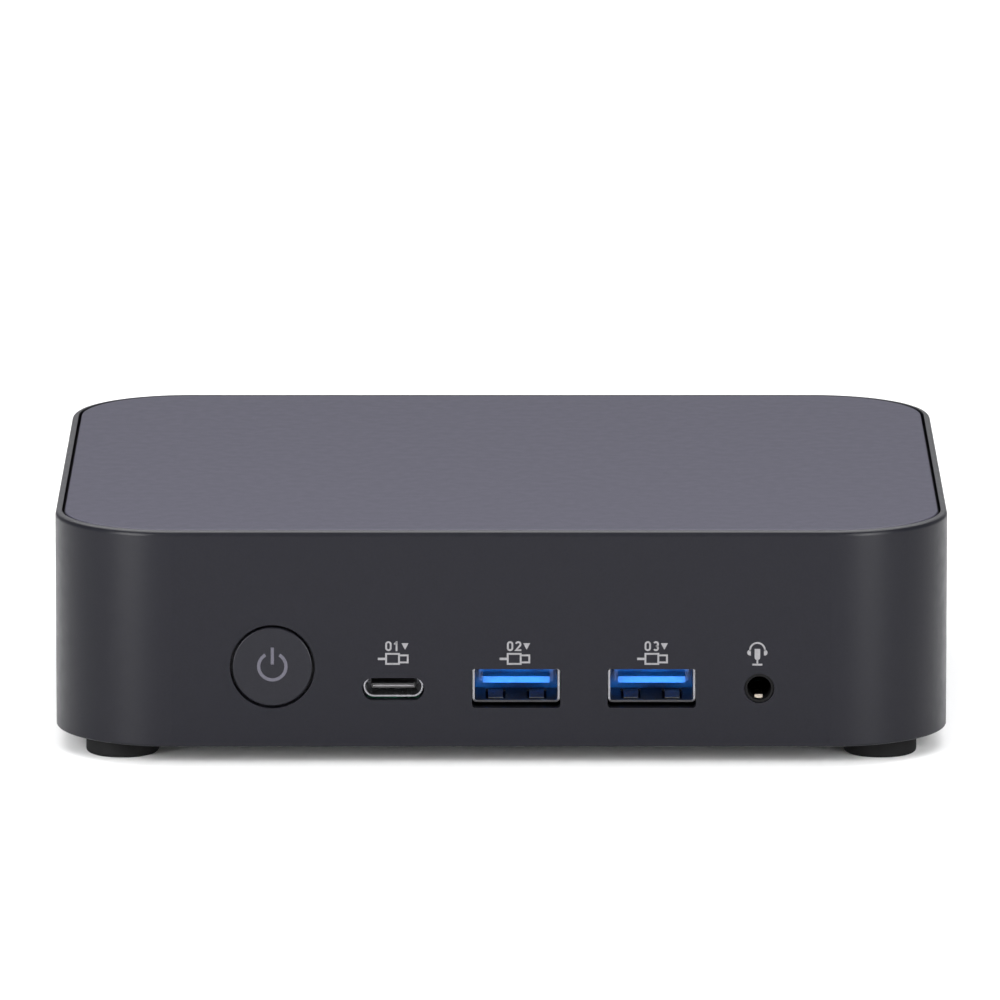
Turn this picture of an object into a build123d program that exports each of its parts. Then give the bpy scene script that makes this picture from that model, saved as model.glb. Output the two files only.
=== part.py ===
"""A palm-sized desktop computer: a moulded shell with a separate lid, bottom cover and rear panel,
a round power button, front and rear sockets, and the board, memory, drive and cooler inside.

Frame: +X to the right seen from the front, +Y to the back, +Z up. The origin is on the table
under the middle of the case. Millimetres. Heights named *_Z are measured from the table.
"""

import os

from build123d import *

os.makedirs("parts", exist_ok=True)

# Case
WIDTH, DEPTH, HEIGHT = 135.0, 115.0, 36.0
FOOT_HEIGHT = 3.0
CORNER_RADIUS = 18.0
WALL = 1.8
EDGE_RADIUS = 0.8
RIM = 1.0
LID_GAP = 0.45
LID_THICKNESS = 2.0
DECK_THICKNESS = 1.2
COVER_THICKNESS = 1.6
FIT = 0.2
TOUCH = 0.05

SHELL_Z = FOOT_HEIGHT
LID_Z = HEIGHT - LID_THICKNESS
DECK_Z = LID_Z - DECK_THICKNESS
COVER_TOP_Z = SHELL_Z + COVER_THICKNESS
FRONT_Y, REAR_Y = -DEPTH / 2, DEPTH / 2
WALL_FRONT_Y, WALL_REAR_Y = FRONT_Y + WALL, REAR_Y - WALL

# Board
BOARD_Z, BOARD_THICKNESS = 9.1, 1.2
BOARD_TOP_Z = BOARD_Z + BOARD_THICKNESS
BOARD_WIDTH = 121.0
BOARD_FRONT_Y, BOARD_REAR_Y = -54.0, 54.0

# Corner screws run through the feet into the shell's corner posts
FOOT_RADIUS, FOOT_BORE, FOOT_SEAT = 5.5, 2.6, 0.6
FOOT_X, FOOT_Y = 57.3, 46.0
CORNER_POST_RADIUS = 3.5
SCREW_RADIUS, SCREW_HEAD_RADIUS, SCREW_HEAD_HEIGHT = 1.2, 2.3, 1.5
BOARD_POST_RADIUS = 2.75
SCREW_PILOT, BOARD_PILOT = 9.0, 5.0
BOARD_POSTS = [(x, y) for x in (-57.0, 57.0) for y in (-12.0, 26.0)]
CORNERS = [(x, y) for x in (-FOOT_X, FOOT_X) for y in (-FOOT_Y, FOOT_Y)]

# Bracket holes under the case, a 75 mm square
BRACKET_SPACING = 75.0
INSERT_RADIUS, INSERT_BORE, INSERT_LENGTH = 2.6, 1.5, 3.2

# Front sockets, as (x, z) of each centre
BUTTON_X, BUTTON_Z = -34.4, 15.3
BUTTON_RADIUS, BUTTON_HOLE_RADIUS = 5.98, 6.4
PORT_RECESS = 1.2
SMALL_PORT_X, SMALL_PORT_Z = -16.24, 12.08
SMALL_PORT_WIDTH, SMALL_PORT_HEIGHT, SMALL_PORT_DEPTH = 8.94, 3.16, 8.6
SMALL_CUTOUT_Z, SMALL_CUTOUT_WIDTH, SMALL_CUTOUT_HEIGHT = 11.87, 9.3, 3.43
WIDE_PORT_X, WIDE_PORT_Z = (2.23, 22.61), 12.37
WIDE_PORT_WIDTH, WIDE_PORT_HEIGHT, WIDE_PORT_DEPTH = 13.1, 5.4, 14.0
WIDE_PORT_RADIUS, WIDE_PORT_BACK = 0.6, 1.4
WIDE_CUTOUT_Z, WIDE_CUTOUT_WIDTH, WIDE_CUTOUT_HEIGHT = 11.97, 13.3, 5.94
SHEET = 0.3
TONGUE_WIDTH, TONGUE_THICKNESS, TONGUE_Z, TONGUE_BASE = 11.2, 2.1, 11.95, 3.4
TONGUE_NOSE_WIDTH, TONGUE_NOSE_HEIGHT, TONGUE_NOSE_RISE, TONGUE_NOSE_LENGTH = 10.1, 0.95, 0.45, 3.6
TONGUE_RECESS = 1.2
JACK_X, JACK_Z = 38.76, 11.99
JACK_BORE, JACK_HOLE_RADIUS, JACK_LENGTH = 1.82, 2.26, 12.6
JACK_BODY, JACK_BARREL_RADIUS, JACK_MOUTH_RECESS = 5.8, 2.2, 0.3

# Rear sockets
PANEL_WIDTH, PANEL_Z, PANEL_HEIGHT = 96.6, 6.0, 25.2
PANEL_FLANGE = 0.8
POWER_X, POWER_Z, POWER_RADIUS, POWER_BORE = 42.0, 15.4, 4.0, 2.9
VIDEO_X, VIDEO_WIDTH = (25.5, 5.0), (15.0, 16.4)
VIDEO_Z, VIDEO_HEIGHT, VIDEO_SLOPE = 13.2, 5.6, 2.2
LAN_X, LAN_WIDTH, LAN_HEIGHT, LAN_DEPTH = -20.0, 16.0, 13.6, 21.0
STACK_X, STACK_Z, STACK_HEIGHT, STACK_DEPTH = -38.5, 9.5, 15.0, 17.5
REAR_RECESS = 0.5

# Cooler
CPU_X, CPU_Y = -8.0, 0.0
DIE_TOP_Z = 12.2
PIPE_Z, PIPE_WIDTH, PIPE_THICKNESS = 18.5, 8.0, 3.0
PIPE_X, PIPE_REAR_Y, PIPE_END_X = -7.5, 48.0, 36.5
FIN_X0, FIN_X1, FIN_Y0, FIN_Y1, FIN_TOP_Z = 2.0, 41.0, 41.5, 54.5, 31.4
FAN_X, FAN_Y, FAN_Z, FAN_TOP_Z = 24.0, 9.0, 19.5, 31.5
FAN_LEFT_X, FAN_RIGHT_X, FAN_FRONT_Y, FAN_REAR_Y = -2.0, 50.0, -18.0, 40.5
FAN_SHEET, FAN_WALL = 0.8, 1.2
HUB_RADIUS, BLADE_TIP, SHAFT_RADIUS = 9.5, (21.6, 7.6), 1.0
BLADES, BLADE_THICKNESS = 29, 0.6
IMPELLER_Z, IMPELLER_TOP_Z = 21.0, 30.0


def finish(piece, name):
    """Labels a finished piece and writes its file."""
    piece.part.label = name
    export_step(piece.part, f"parts/{name}.step")


def case_outline(inset):
    """The case's plan, a rectangle with round corners, drawn this far inside the outer face."""
    RectangleRounded(WIDTH - 2 * inset, DEPTH - 2 * inset, CORNER_RADIUS - inset)


def across(y):
    """A drawing plane facing the front at this depth: its x is X and its y is Z."""
    return Plane.XZ.offset(-y)


def block(x0, x1, y0, y1, z0, z1, mode=Mode.ADD):
    """A box between two corners, added to the piece being built."""
    with Locations(((x0 + x1) / 2, (y0 + y1) / 2, (z0 + z1) / 2)):
        Box(x1 - x0, y1 - y0, z1 - z0, mode=mode)


def slab(x, y, z, width, depth, height, mode=Mode.ADD):
    """A box that stands on height z, centred on x and y, added to the piece being built."""
    with Locations((x, y, z)):
        Box(width, depth, height, align=(Align.CENTER, Align.CENTER, Align.MIN), mode=mode)


def post(x, y, z0, z1, radius, mode=Mode.ADD):
    """An upright cylinder between two heights, added to the piece being built."""
    with Locations((x, y, (z0 + z1) / 2)):
        Cylinder(radius, z1 - z0, mode=mode)


# ---------------------------------------------------------------- casing

LOCK_SLOT_Y, LOCK_SLOT_Z, LOCK_SLOT_LENGTH, LOCK_SLOT_WIDTH = 30.0, 12.0, 7.0, 3.0
LID_PEGS = [(x, y) for x in (-45.0, 45.0) for y in (-44.0, 44.0)]
LID_PEG_RADIUS, LID_PEG_LENGTH = 2.0, 2.4

with BuildPart() as chassis_shell:
    with BuildSketch(Plane.XY.offset(SHELL_Z)):
        case_outline(0)
    extrude(amount=HEIGHT - SHELL_Z)
    fillet(chassis_shell.faces().sort_by(Axis.Z)[-1].edges(), EDGE_RADIUS)
    fillet(chassis_shell.faces().sort_by(Axis.Z)[0].edges(), 0.3)
    # the recess for the lid, and the room under the deck
    with BuildSketch(Plane.XY.offset(LID_Z)):
        case_outline(RIM)
    extrude(amount=LID_THICKNESS, mode=Mode.SUBTRACT)
    with BuildSketch(Plane.XY.offset(SHELL_Z)):
        case_outline(WALL)
    extrude(amount=DECK_Z - SHELL_Z, mode=Mode.SUBTRACT)
    # posts that hang from the deck: four for the cover, four for the board
    for x, y in CORNERS:
        post(x, y, COVER_TOP_Z, DECK_Z, CORNER_POST_RADIUS)
        post(x, y, COVER_TOP_Z, COVER_TOP_Z + SCREW_PILOT, SCREW_RADIUS + TOUCH, Mode.SUBTRACT)
    for x, y in BOARD_POSTS:
        post(x, y, BOARD_TOP_Z, DECK_Z, BOARD_POST_RADIUS)
        post(x, y, BOARD_TOP_Z, BOARD_TOP_Z + BOARD_PILOT, SCREW_RADIUS + TOUCH, Mode.SUBTRACT)
    # holes in the deck for the lid's pegs
    for x, y in LID_PEGS:
        post(x, y, DECK_Z, LID_Z, LID_PEG_RADIUS + FIT, Mode.SUBTRACT)
    # front openings
    with BuildSketch(across(FRONT_Y)):
        with Locations((BUTTON_X, BUTTON_Z)):
            Circle(BUTTON_HOLE_RADIUS)
        with Locations((JACK_X, JACK_Z)):
            Circle(JACK_HOLE_RADIUS)
        with Locations((SMALL_PORT_X, SMALL_CUTOUT_Z)):
            RectangleRounded(SMALL_CUTOUT_WIDTH, SMALL_CUTOUT_HEIGHT, SMALL_CUTOUT_HEIGHT / 2 - 0.05)
        for x in WIDE_PORT_X:
            with Locations((x, WIDE_CUTOUT_Z)):
                RectangleRounded(WIDE_CUTOUT_WIDTH, WIDE_CUTOUT_HEIGHT, 0.5)
    extrude(amount=-WALL, mode=Mode.SUBTRACT)
    # room behind the cut-outs for the sockets' shells, which stand a little higher
    with BuildSketch(across(FRONT_Y + PORT_RECESS - FIT)):
        with Locations((SMALL_PORT_X, SMALL_PORT_Z)):
            height = SMALL_PORT_HEIGHT + 2 * FIT
            RectangleRounded(SMALL_PORT_WIDTH + 2 * FIT, height, height / 2 - 0.05)
        for x in WIDE_PORT_X:
            with Locations((x, WIDE_PORT_Z)):
                RectangleRounded(WIDE_PORT_WIDTH + 2 * FIT, WIDE_PORT_HEIGHT + 2 * FIT, WIDE_PORT_RADIUS)
    extrude(amount=-(WALL - PORT_RECESS + FIT), mode=Mode.SUBTRACT)
    # rear opening for the socket panel
    with BuildSketch(across(REAR_Y)):
        with Locations((0, PANEL_Z + PANEL_HEIGHT / 2)):
            RectangleRounded(PANEL_WIDTH + 2 * FIT, PANEL_HEIGHT + 2 * FIT, 1.7)
    extrude(amount=WALL, mode=Mode.SUBTRACT)
    # security slot in the right wall
    with BuildSketch(Plane.YZ.offset(WIDTH / 2 - WALL)):
        with Locations((LOCK_SLOT_Y, LOCK_SLOT_Z)):
            RectangleRounded(LOCK_SLOT_LENGTH, LOCK_SLOT_WIDTH, 0.6)
    extrude(amount=WALL, mode=Mode.SUBTRACT)
finish(chassis_shell, "chassis_shell")

with BuildPart() as top_lid:
    with BuildSketch(Plane.XY.offset(LID_Z)):
        case_outline(RIM + LID_GAP)
    extrude(amount=LID_THICKNESS)
    fillet(top_lid.faces().sort_by(Axis.Z)[-1].edges(), 0.25)
    for x, y in LID_PEGS:
        post(x, y, LID_Z - LID_PEG_LENGTH, LID_Z, LID_PEG_RADIUS)
finish(top_lid, "top_lid")

BRACKET_HOLES = GridLocations(BRACKET_SPACING, BRACKET_SPACING, 2, 2)
VENT_LENGTH, VENT_WIDTH, VENT_PITCH_X, VENT_PITCH_Y, VENT_COLUMNS, VENT_ROWS = 22.0, 2.0, 26.0, 4.0, 3, 12
BOSS_RADIUS = 4.0
INSERT_TOP_Z = SHELL_Z + INSERT_LENGTH

with BuildPart() as bottom_cover:
    with BuildSketch(Plane.XY.offset(SHELL_Z)):
        case_outline(WALL + FIT)
    extrude(amount=COVER_THICKNESS)
    fillet(bottom_cover.faces().sort_by(Axis.Z)[0].edges(), 0.3)
    # bosses for the bracket inserts
    with BuildSketch(Plane.XY.offset(COVER_TOP_Z)):
        with BRACKET_HOLES:
            Circle(BOSS_RADIUS)
    extrude(amount=INSERT_TOP_Z - COVER_TOP_Z)
    with BuildSketch(Plane.XY.offset(SHELL_Z)):
        with BRACKET_HOLES:
            Circle(INSERT_RADIUS + 0.02)
    extrude(amount=INSERT_LENGTH, mode=Mode.SUBTRACT)
    # round seats for the feet, with a hole for each corner screw
    for x, y in CORNERS:
        post(x, y, SHELL_Z, SHELL_Z + FOOT_SEAT, FOOT_RADIUS + 0.1, Mode.SUBTRACT)
        post(x, y, SHELL_Z, COVER_TOP_Z, SCREW_RADIUS + 0.25, Mode.SUBTRACT)
    # air intake slots: three columns
    with BuildSketch(Plane.XY.offset(SHELL_Z)):
        with GridLocations(VENT_PITCH_X, VENT_PITCH_Y, VENT_COLUMNS, VENT_ROWS):
            SlotOverall(VENT_LENGTH, VENT_WIDTH)
    extrude(amount=COVER_THICKNESS, mode=Mode.SUBTRACT)
finish(bottom_cover, "bottom_cover")

with BuildPart() as rubber_feet:
    for x, y in CORNERS:
        post(x, y, 0, SHELL_Z + FOOT_SEAT, FOOT_RADIUS)
    fillet(rubber_feet.edges().group_by(Axis.Z)[0], 0.6)
    for x, y in CORNERS:
        post(x, y, 0, SHELL_Z + FOOT_SEAT, FOOT_BORE, Mode.SUBTRACT)
finish(rubber_feet, "rubber_feet")


CROSS_LENGTH, CROSS_WIDTH, CROSS_DEPTH = 2.4, 0.5, 0.8
COVER_SCREW_LENGTH, BOARD_SCREW_BITE = 8.5, 4.0


def cross_head_screws(places, head_z, length):
    """Pan-head screws that point up, with the head's seat at head_z, as one group."""
    with BuildPart() as screws:
        for x, y in places:
            post(x, y, head_z - SCREW_HEAD_HEIGHT, head_z, SCREW_HEAD_RADIUS)
        fillet(screws.edges().group_by(Axis.Z)[0], 0.5)
        for x, y in places:
            post(x, y, head_z, head_z + length, SCREW_RADIUS)
        with BuildSketch(Plane.XY.offset(head_z - SCREW_HEAD_HEIGHT)):
            with Locations(*places):
                Rectangle(CROSS_LENGTH, CROSS_WIDTH)
                Rectangle(CROSS_WIDTH, CROSS_LENGTH)
        extrude(amount=CROSS_DEPTH, mode=Mode.SUBTRACT)
    return screws


cover_screws = cross_head_screws(CORNERS, SHELL_Z + FOOT_SEAT, COVER_SCREW_LENGTH)
finish(cover_screws, "cover_screws")

board_screws = cross_head_screws(BOARD_POSTS, BOARD_Z, BOARD_THICKNESS + BOARD_SCREW_BITE)
finish(board_screws, "board_screws")

with BuildPart() as bracket_inserts:
    with BuildSketch(Plane.XY.offset(SHELL_Z)):
        with BRACKET_HOLES:
            Circle(INSERT_RADIUS)
            Circle(INSERT_BORE, mode=Mode.SUBTRACT)
    extrude(amount=INSERT_LENGTH)
finish(bracket_inserts, "bracket_inserts")

# exhaust slots as (x, z, how many): a full row and a shorter one under it
VENT_GROUPS = ((0.0, 27.6, 25), (16.2, 21.6, 10))
EXHAUST_PITCH, EXHAUST_WIDTH, EXHAUST_HEIGHT = 3.6, 2.0, 4.4


def video_outline(index, inset):
    """The mouth of a video socket: the first has two sloped lower corners, the second has one."""
    half = VIDEO_WIDTH[index] / 2 - inset
    top, low = VIDEO_HEIGHT / 2 - inset, -VIDEO_HEIGHT / 2 + inset
    right = [(half, low + VIDEO_SLOPE), (half - VIDEO_SLOPE, low)] if index == 0 else [(half, low)]
    left = [(-half + VIDEO_SLOPE, low), (-half, low + VIDEO_SLOPE)]
    with Locations((VIDEO_X[index], VIDEO_Z)):
        Polygon((-half, top), (half, top), *right, *left, align=None)


with BuildPart() as rear_io_panel:
    panel_centre_z = PANEL_Z + PANEL_HEIGHT / 2
    with BuildSketch(across(REAR_Y)):
        with Locations((0, panel_centre_z)):
            RectangleRounded(PANEL_WIDTH, PANEL_HEIGHT, 1.5)
    extrude(amount=WALL)
    with BuildSketch(across(WALL_REAR_Y)):
        with Locations((0, panel_centre_z)):
            Rectangle(PANEL_WIDTH + 2, PANEL_HEIGHT + 1.2)
    extrude(amount=PANEL_FLANGE)
    # two rows of exhaust slots, and an opening for each socket
    with BuildSketch(across(REAR_Y)):
        for x, z, count in VENT_GROUPS:
            with Locations((x, z)):
                with GridLocations(EXHAUST_PITCH, 1, count, 1):
                    RectangleRounded(EXHAUST_WIDTH, EXHAUST_HEIGHT, 0.9)
        with Locations((POWER_X, POWER_Z)):
            Circle(POWER_RADIUS + FIT)
        with Locations((LAN_X, BOARD_TOP_Z + LAN_HEIGHT / 2)):
            Rectangle(LAN_WIDTH + 2 * FIT, LAN_HEIGHT + 2 * FIT)
        with Locations((STACK_X, STACK_Z + STACK_HEIGHT / 2)):
            Rectangle(WIDE_PORT_WIDTH + 2 * FIT, STACK_HEIGHT + 2 * FIT)
        for index in range(len(VIDEO_X)):
            video_outline(index, -FIT)
    extrude(amount=WALL + PANEL_FLANGE, mode=Mode.SUBTRACT)
finish(rear_io_panel, "rear_io_panel")

# ---------------------------------------------------------------- power button and switch

BUTTON_TRAVEL = 0.4
BUTTON_FLANGE_RADIUS, BUTTON_FLANGE = 7.0, 0.8
SYMBOL_RADIUS, SYMBOL_STROKE, SYMBOL_DEPTH = 2.05, 0.5, 0.8
SYMBOL_Z = BUTTON_Z + 0.05
# the wedge left open at the top of the ring, and the bar that stands in it
GAP_HALF_WIDTH, GAP_REACH = 2.76, 4.6
BAR_Z, BAR_LENGTH = 1.6, 2.6
STEM_Z, STEM_RADIUS = 13.4, 2.0
GUIDE_RADIUS, GUIDE_BORE, GUIDE_DEPTH, GUIDE_BACK = 8.6, 7.4, 3.0, 0.8
SWITCH_FRONT_Y, SWITCH_DEPTH, SWITCH_SIZE = -48.6, 3.6, 6.0
PLUNGER_RADIUS, PLUNGER_LENGTH, PLUNGER_SEAT = 1.6, 1.5, 0.9


def power_symbol(clearance):
    """A broken ring with a bar through its gap, this much slimmer all round."""
    outer = SYMBOL_RADIUS + SYMBOL_STROKE / 2 - clearance
    inner = SYMBOL_RADIUS - SYMBOL_STROKE / 2 + clearance
    gap = GAP_HALF_WIDTH + 2 * clearance
    Circle(outer)
    Circle(inner, mode=Mode.SUBTRACT)
    Polygon((0, 0), (gap, GAP_REACH), (-gap, GAP_REACH), align=None, mode=Mode.SUBTRACT)
    with Locations((0, BAR_Z)):
        Rectangle(SYMBOL_STROKE - 2 * clearance, BAR_LENGTH - 2 * clearance)


with BuildPart() as power_button:
    with BuildSketch(across(FRONT_Y)):
        with Locations((BUTTON_X, BUTTON_Z)):
            Circle(BUTTON_RADIUS)
    extrude(amount=-(WALL + TOUCH))
    fillet(power_button.faces().sort_by(Axis.Y)[0].edges(), 0.2)
    with BuildSketch(across(WALL_FRONT_Y + TOUCH)):
        with Locations((BUTTON_X, BUTTON_Z)):
            Circle(BUTTON_FLANGE_RADIUS)
    extrude(amount=-BUTTON_FLANGE)
    flange_back_y = WALL_FRONT_Y + TOUCH + BUTTON_FLANGE
    stem_end_y = SWITCH_FRONT_Y - PLUNGER_LENGTH - 0.02
    with BuildSketch(across(flange_back_y)):
        with Locations((BUTTON_X, STEM_Z)):
            Circle(STEM_RADIUS)
    extrude(amount=-(stem_end_y - flange_back_y))
    with BuildSketch(across(FRONT_Y)):
        with Locations((BUTTON_X, SYMBOL_Z)):
            power_symbol(0)
    extrude(amount=-SYMBOL_DEPTH, mode=Mode.SUBTRACT)
finish(power_button, "power_button")

with BuildPart() as power_lens:
    with BuildSketch(across(FRONT_Y)):
        with Locations((BUTTON_X, SYMBOL_Z)):
            power_symbol(0.01)
    extrude(amount=-(SYMBOL_DEPTH - 0.01))
finish(power_lens, "power_lens")

with BuildPart() as button_guide:
    with BuildSketch(across(WALL_FRONT_Y)):
        with Locations((BUTTON_X, BUTTON_Z)):
            Circle(GUIDE_RADIUS)
        # flat underneath, clear of the board
        with Locations((BUTTON_X, BOARD_TOP_Z + FIT - GUIDE_RADIUS)):
            Rectangle(2 * GUIDE_RADIUS, 2 * GUIDE_RADIUS, mode=Mode.SUBTRACT)
    extrude(amount=-(GUIDE_DEPTH + GUIDE_BACK))
    with BuildSketch(across(WALL_FRONT_Y)):
        with Locations((BUTTON_X, BUTTON_Z)):
            Circle(GUIDE_BORE)
    extrude(amount=-GUIDE_DEPTH, mode=Mode.SUBTRACT)
    with BuildSketch(across(WALL_FRONT_Y + GUIDE_DEPTH)):
        with Locations((BUTTON_X, STEM_Z)):
            Circle(STEM_RADIUS + 2 * FIT)
    extrude(amount=-GUIDE_BACK, mode=Mode.SUBTRACT)
finish(button_guide, "button_guide")

with BuildPart() as power_switch:
    block(
        BUTTON_X - SWITCH_SIZE / 2,
        BUTTON_X + SWITCH_SIZE / 2,
        SWITCH_FRONT_Y,
        SWITCH_FRONT_Y + SWITCH_DEPTH,
        BOARD_TOP_Z,
        BOARD_TOP_Z + SWITCH_SIZE,
    )
    fillet(power_switch.edges().filter_by(Axis.Y), 0.6)
    with BuildSketch(across(SWITCH_FRONT_Y)):
        with Locations((BUTTON_X, STEM_Z)):
            Circle(PLUNGER_RADIUS + TOUCH)
    extrude(amount=-(PLUNGER_SEAT + BUTTON_TRAVEL + FIT), mode=Mode.SUBTRACT)
finish(power_switch, "power_switch")

with BuildPart() as switch_plunger:
    with BuildSketch(across(SWITCH_FRONT_Y - PLUNGER_LENGTH)):
        with Locations((BUTTON_X, STEM_Z)):
            Circle(PLUNGER_RADIUS)
    extrude(amount=-(PLUNGER_LENGTH + PLUNGER_SEAT))
    chamfer(switch_plunger.faces().sort_by(Axis.Y)[0].edges(), 0.2)
finish(switch_plunger, "switch_plunger")

# ---------------------------------------------------------------- front sockets

PORT_Y = FRONT_Y + PORT_RECESS


SMALL_PORT_SHEET, SMALL_PORT_BACK = 0.24, 1.6
# the oval socket's tongue, as (recess, width, height): the thin blade, then its thicker root
SMALL_TONGUE_STEPS = ((0.6, 6.6, 0.7), (4.6, 6.9, 1.6))


def small_port():
    """The small oval socket: a drawn shell and a tongue on a root."""
    hollow = SMALL_PORT_DEPTH - SMALL_PORT_BACK
    with BuildPart() as shell:
        steps = ((0, SMALL_PORT_DEPTH, Mode.ADD), (SMALL_PORT_SHEET, hollow, Mode.SUBTRACT))
        for inset, depth, mode in steps:
            width, height = SMALL_PORT_WIDTH - 2 * inset, SMALL_PORT_HEIGHT - 2 * inset
            with BuildSketch(across(PORT_Y)):
                with Locations((SMALL_PORT_X, SMALL_PORT_Z)):
                    RectangleRounded(width, height, height / 2 - 0.02)
            extrude(amount=-depth, mode=mode)
    with BuildPart() as tongue:
        for recess, width, height in SMALL_TONGUE_STEPS:
            with BuildSketch(across(PORT_Y + recess)):
                with Locations((SMALL_PORT_X, SMALL_PORT_Z)):
                    RectangleRounded(width, height, 0.2)
            extrude(amount=-(hollow - recess))
    return shell, tongue


# springs in the wide sockets' floors: each crosses a window, fixed at its rear end
SPRING_SPREAD, SPRING_WIDTH, SPRING_SHEET = 3.1, 2.2, 0.2
WINDOW_WIDTH, WINDOW_NEAR, WINDOW_FAR = 3.0, 1.2, 8.2


def wide_port(x):
    """A flat rectangular socket: a shell with two springs in its floor, and a tongue on a root."""
    hollow = WIDE_PORT_DEPTH - WIDE_PORT_BACK
    with BuildPart() as shell:
        for inset, depth, mode in ((0, WIDE_PORT_DEPTH, Mode.ADD), (SHEET, hollow, Mode.SUBTRACT)):
            width, height = WIDE_PORT_WIDTH - 2 * inset, WIDE_PORT_HEIGHT - 2 * inset
            with BuildSketch(across(PORT_Y)):
                with Locations((x, WIDE_PORT_Z)):
                    RectangleRounded(width, height, WIDE_PORT_RADIUS - inset)
            extrude(amount=-depth, mode=mode)
        near_y, far_y = PORT_Y + WINDOW_NEAR, PORT_Y + WINDOW_FAR
        floor_z = WIDE_PORT_Z - WIDE_PORT_HEIGHT / 2
        for centre in (x - SPRING_SPREAD, x + SPRING_SPREAD):
            half = WINDOW_WIDTH / 2
            block(centre - half, centre + half, near_y, far_y, floor_z, floor_z + SHEET, Mode.SUBTRACT)
            with BuildSketch(Plane.YZ.offset(centre - SPRING_WIDTH / 2)):
                with BuildLine():
                    spring = Polyline(
                        (far_y, floor_z + SHEET / 2),
                        (near_y + 2.2, floor_z + 0.95),
                        (near_y + 0.4, floor_z + 0.35),
                    )
                    offset(spring, amount=SPRING_SHEET / 2, side=Side.BOTH)
                make_face()
            extrude(amount=SPRING_WIDTH)
    rear_y = PORT_Y + hollow
    nose_y = PORT_Y + TONGUE_RECESS
    with BuildPart() as tongue:
        # a narrow nose stands out in front of the full section
        with BuildSketch(across(nose_y)):
            with Locations((x, TONGUE_Z + TONGUE_NOSE_RISE + TONGUE_NOSE_HEIGHT / 2)):
                Rectangle(TONGUE_NOSE_WIDTH, TONGUE_NOSE_HEIGHT)
        extrude(amount=-TONGUE_NOSE_LENGTH)
        with BuildSketch(across(nose_y + TONGUE_NOSE_LENGTH)):
            with Locations((x, TONGUE_Z + TONGUE_THICKNESS / 2)):
                Rectangle(TONGUE_WIDTH, TONGUE_THICKNESS)
        extrude(amount=-(rear_y - nose_y - TONGUE_NOSE_LENGTH))
        with BuildSketch(across(rear_y - TONGUE_BASE)):
            with Locations((x, WIDE_PORT_Z)):
                inset = SHEET + 0.02
                width, height = WIDE_PORT_WIDTH - 2 * inset, WIDE_PORT_HEIGHT - 2 * inset
                RectangleRounded(width, height, WIDE_PORT_RADIUS - SHEET)
        extrude(amount=-TONGUE_BASE)
    return shell, tongue


usb_c_front_shell, usb_c_front_tongue = small_port()
finish(usb_c_front_shell, "usb_c_front_shell")
finish(usb_c_front_tongue, "usb_c_front_tongue")

for side_name, port_x in zip(("left", "right"), WIDE_PORT_X):
    usb_a_shell, usb_a_tongue = wide_port(port_x)
    finish(usb_a_shell, f"usb_a_{side_name}_shell")
    finish(usb_a_tongue, f"usb_a_{side_name}_tongue")

CONTACT_PITCH, CONTACT_WIDTH, CONTACT_THICKNESS, CONTACT_SETBACK = 2.3, 1.0, 0.2, 0.3
with BuildPart() as usb_a_contacts:
    contact_y0 = PORT_Y + TONGUE_RECESS + TONGUE_NOSE_LENGTH + CONTACT_SETBACK
    contact_y1 = PORT_Y + WIDE_PORT_DEPTH - WIDE_PORT_BACK - TONGUE_BASE
    for x in WIDE_PORT_X:
        with Locations((x, (contact_y0 + contact_y1) / 2, TONGUE_Z)):
            with GridLocations(CONTACT_PITCH, 1, 4, 1):
                below = (Align.CENTER, Align.CENTER, Align.MAX)
                Box(CONTACT_WIDTH, contact_y1 - contact_y0, CONTACT_THICKNESS, align=below)
finish(usb_a_contacts, "usb_a_contacts")

JACK_Y, JACK_MOUTH_Y = WALL_FRONT_Y + TOUCH, FRONT_Y + JACK_MOUTH_RECESS
JACK_SPRING_WIDTH, JACK_SPRING_REACH, JACK_SPRING_SLOPE = 1.2, 2.35, 0.22
# along the bore: where each spring's pocket starts, the spring's near and far ends, and its side,
# below (-1) or above (1)
JACK_SPRINGS = ((0.0, 2.4, 6.4, -1), (7.4, 7.5, 10.4, 1))

with BuildPart() as headset_jack_body:
    with BuildSketch(across(JACK_Y)):
        with Locations((JACK_X, JACK_Z)):
            RectangleRounded(JACK_BODY + 0.6, JACK_BODY, 0.5)
    extrude(amount=-JACK_LENGTH)
    # a barrel reaches through the case's wall, and the bore runs from its mouth to the back
    barrel_length = JACK_Y - JACK_MOUTH_Y
    for radius, length, mode in (
        (JACK_BARREL_RADIUS, barrel_length, Mode.ADD),
        (JACK_BORE, barrel_length + JACK_LENGTH, Mode.SUBTRACT),
    ):
        with BuildSketch(across(JACK_MOUTH_Y)):
            with Locations((JACK_X, JACK_Z)):
                Circle(radius)
        extrude(amount=-length, mode=mode)
    # pockets for the spring contacts, below and above the bore
    pocket = JACK_SPRING_WIDTH / 2 + TOUCH
    for start, near, far, side in JACK_SPRINGS:
        y0, y1 = JACK_Y + start, JACK_Y + far + TOUCH
        z0, z1 = sorted((JACK_Z, JACK_Z + side * JACK_SPRING_REACH))
        block(JACK_X - pocket, JACK_X + pocket, y0, y1, z0, z1, Mode.SUBTRACT)
finish(headset_jack_body, "headset_jack_body")

with BuildPart() as headset_jack_contacts:
    with BuildSketch(Plane.YZ.offset(JACK_X - JACK_SPRING_WIDTH / 2)):
        for _, near, far, side in JACK_SPRINGS:
            # flush with the bore, sloping away at its near end
            bore_z, deep_z = JACK_Z + side * JACK_BORE, JACK_Z + side * JACK_SPRING_REACH
            y0, y1 = JACK_Y + near, JACK_Y + far
            Polygon((y0, deep_z), (y1, deep_z), (y1, bore_z), (y0 + JACK_SPRING_SLOPE, bore_z), align=None)
    extrude(amount=JACK_SPRING_WIDTH)
finish(headset_jack_contacts, "headset_jack_contacts")

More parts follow.
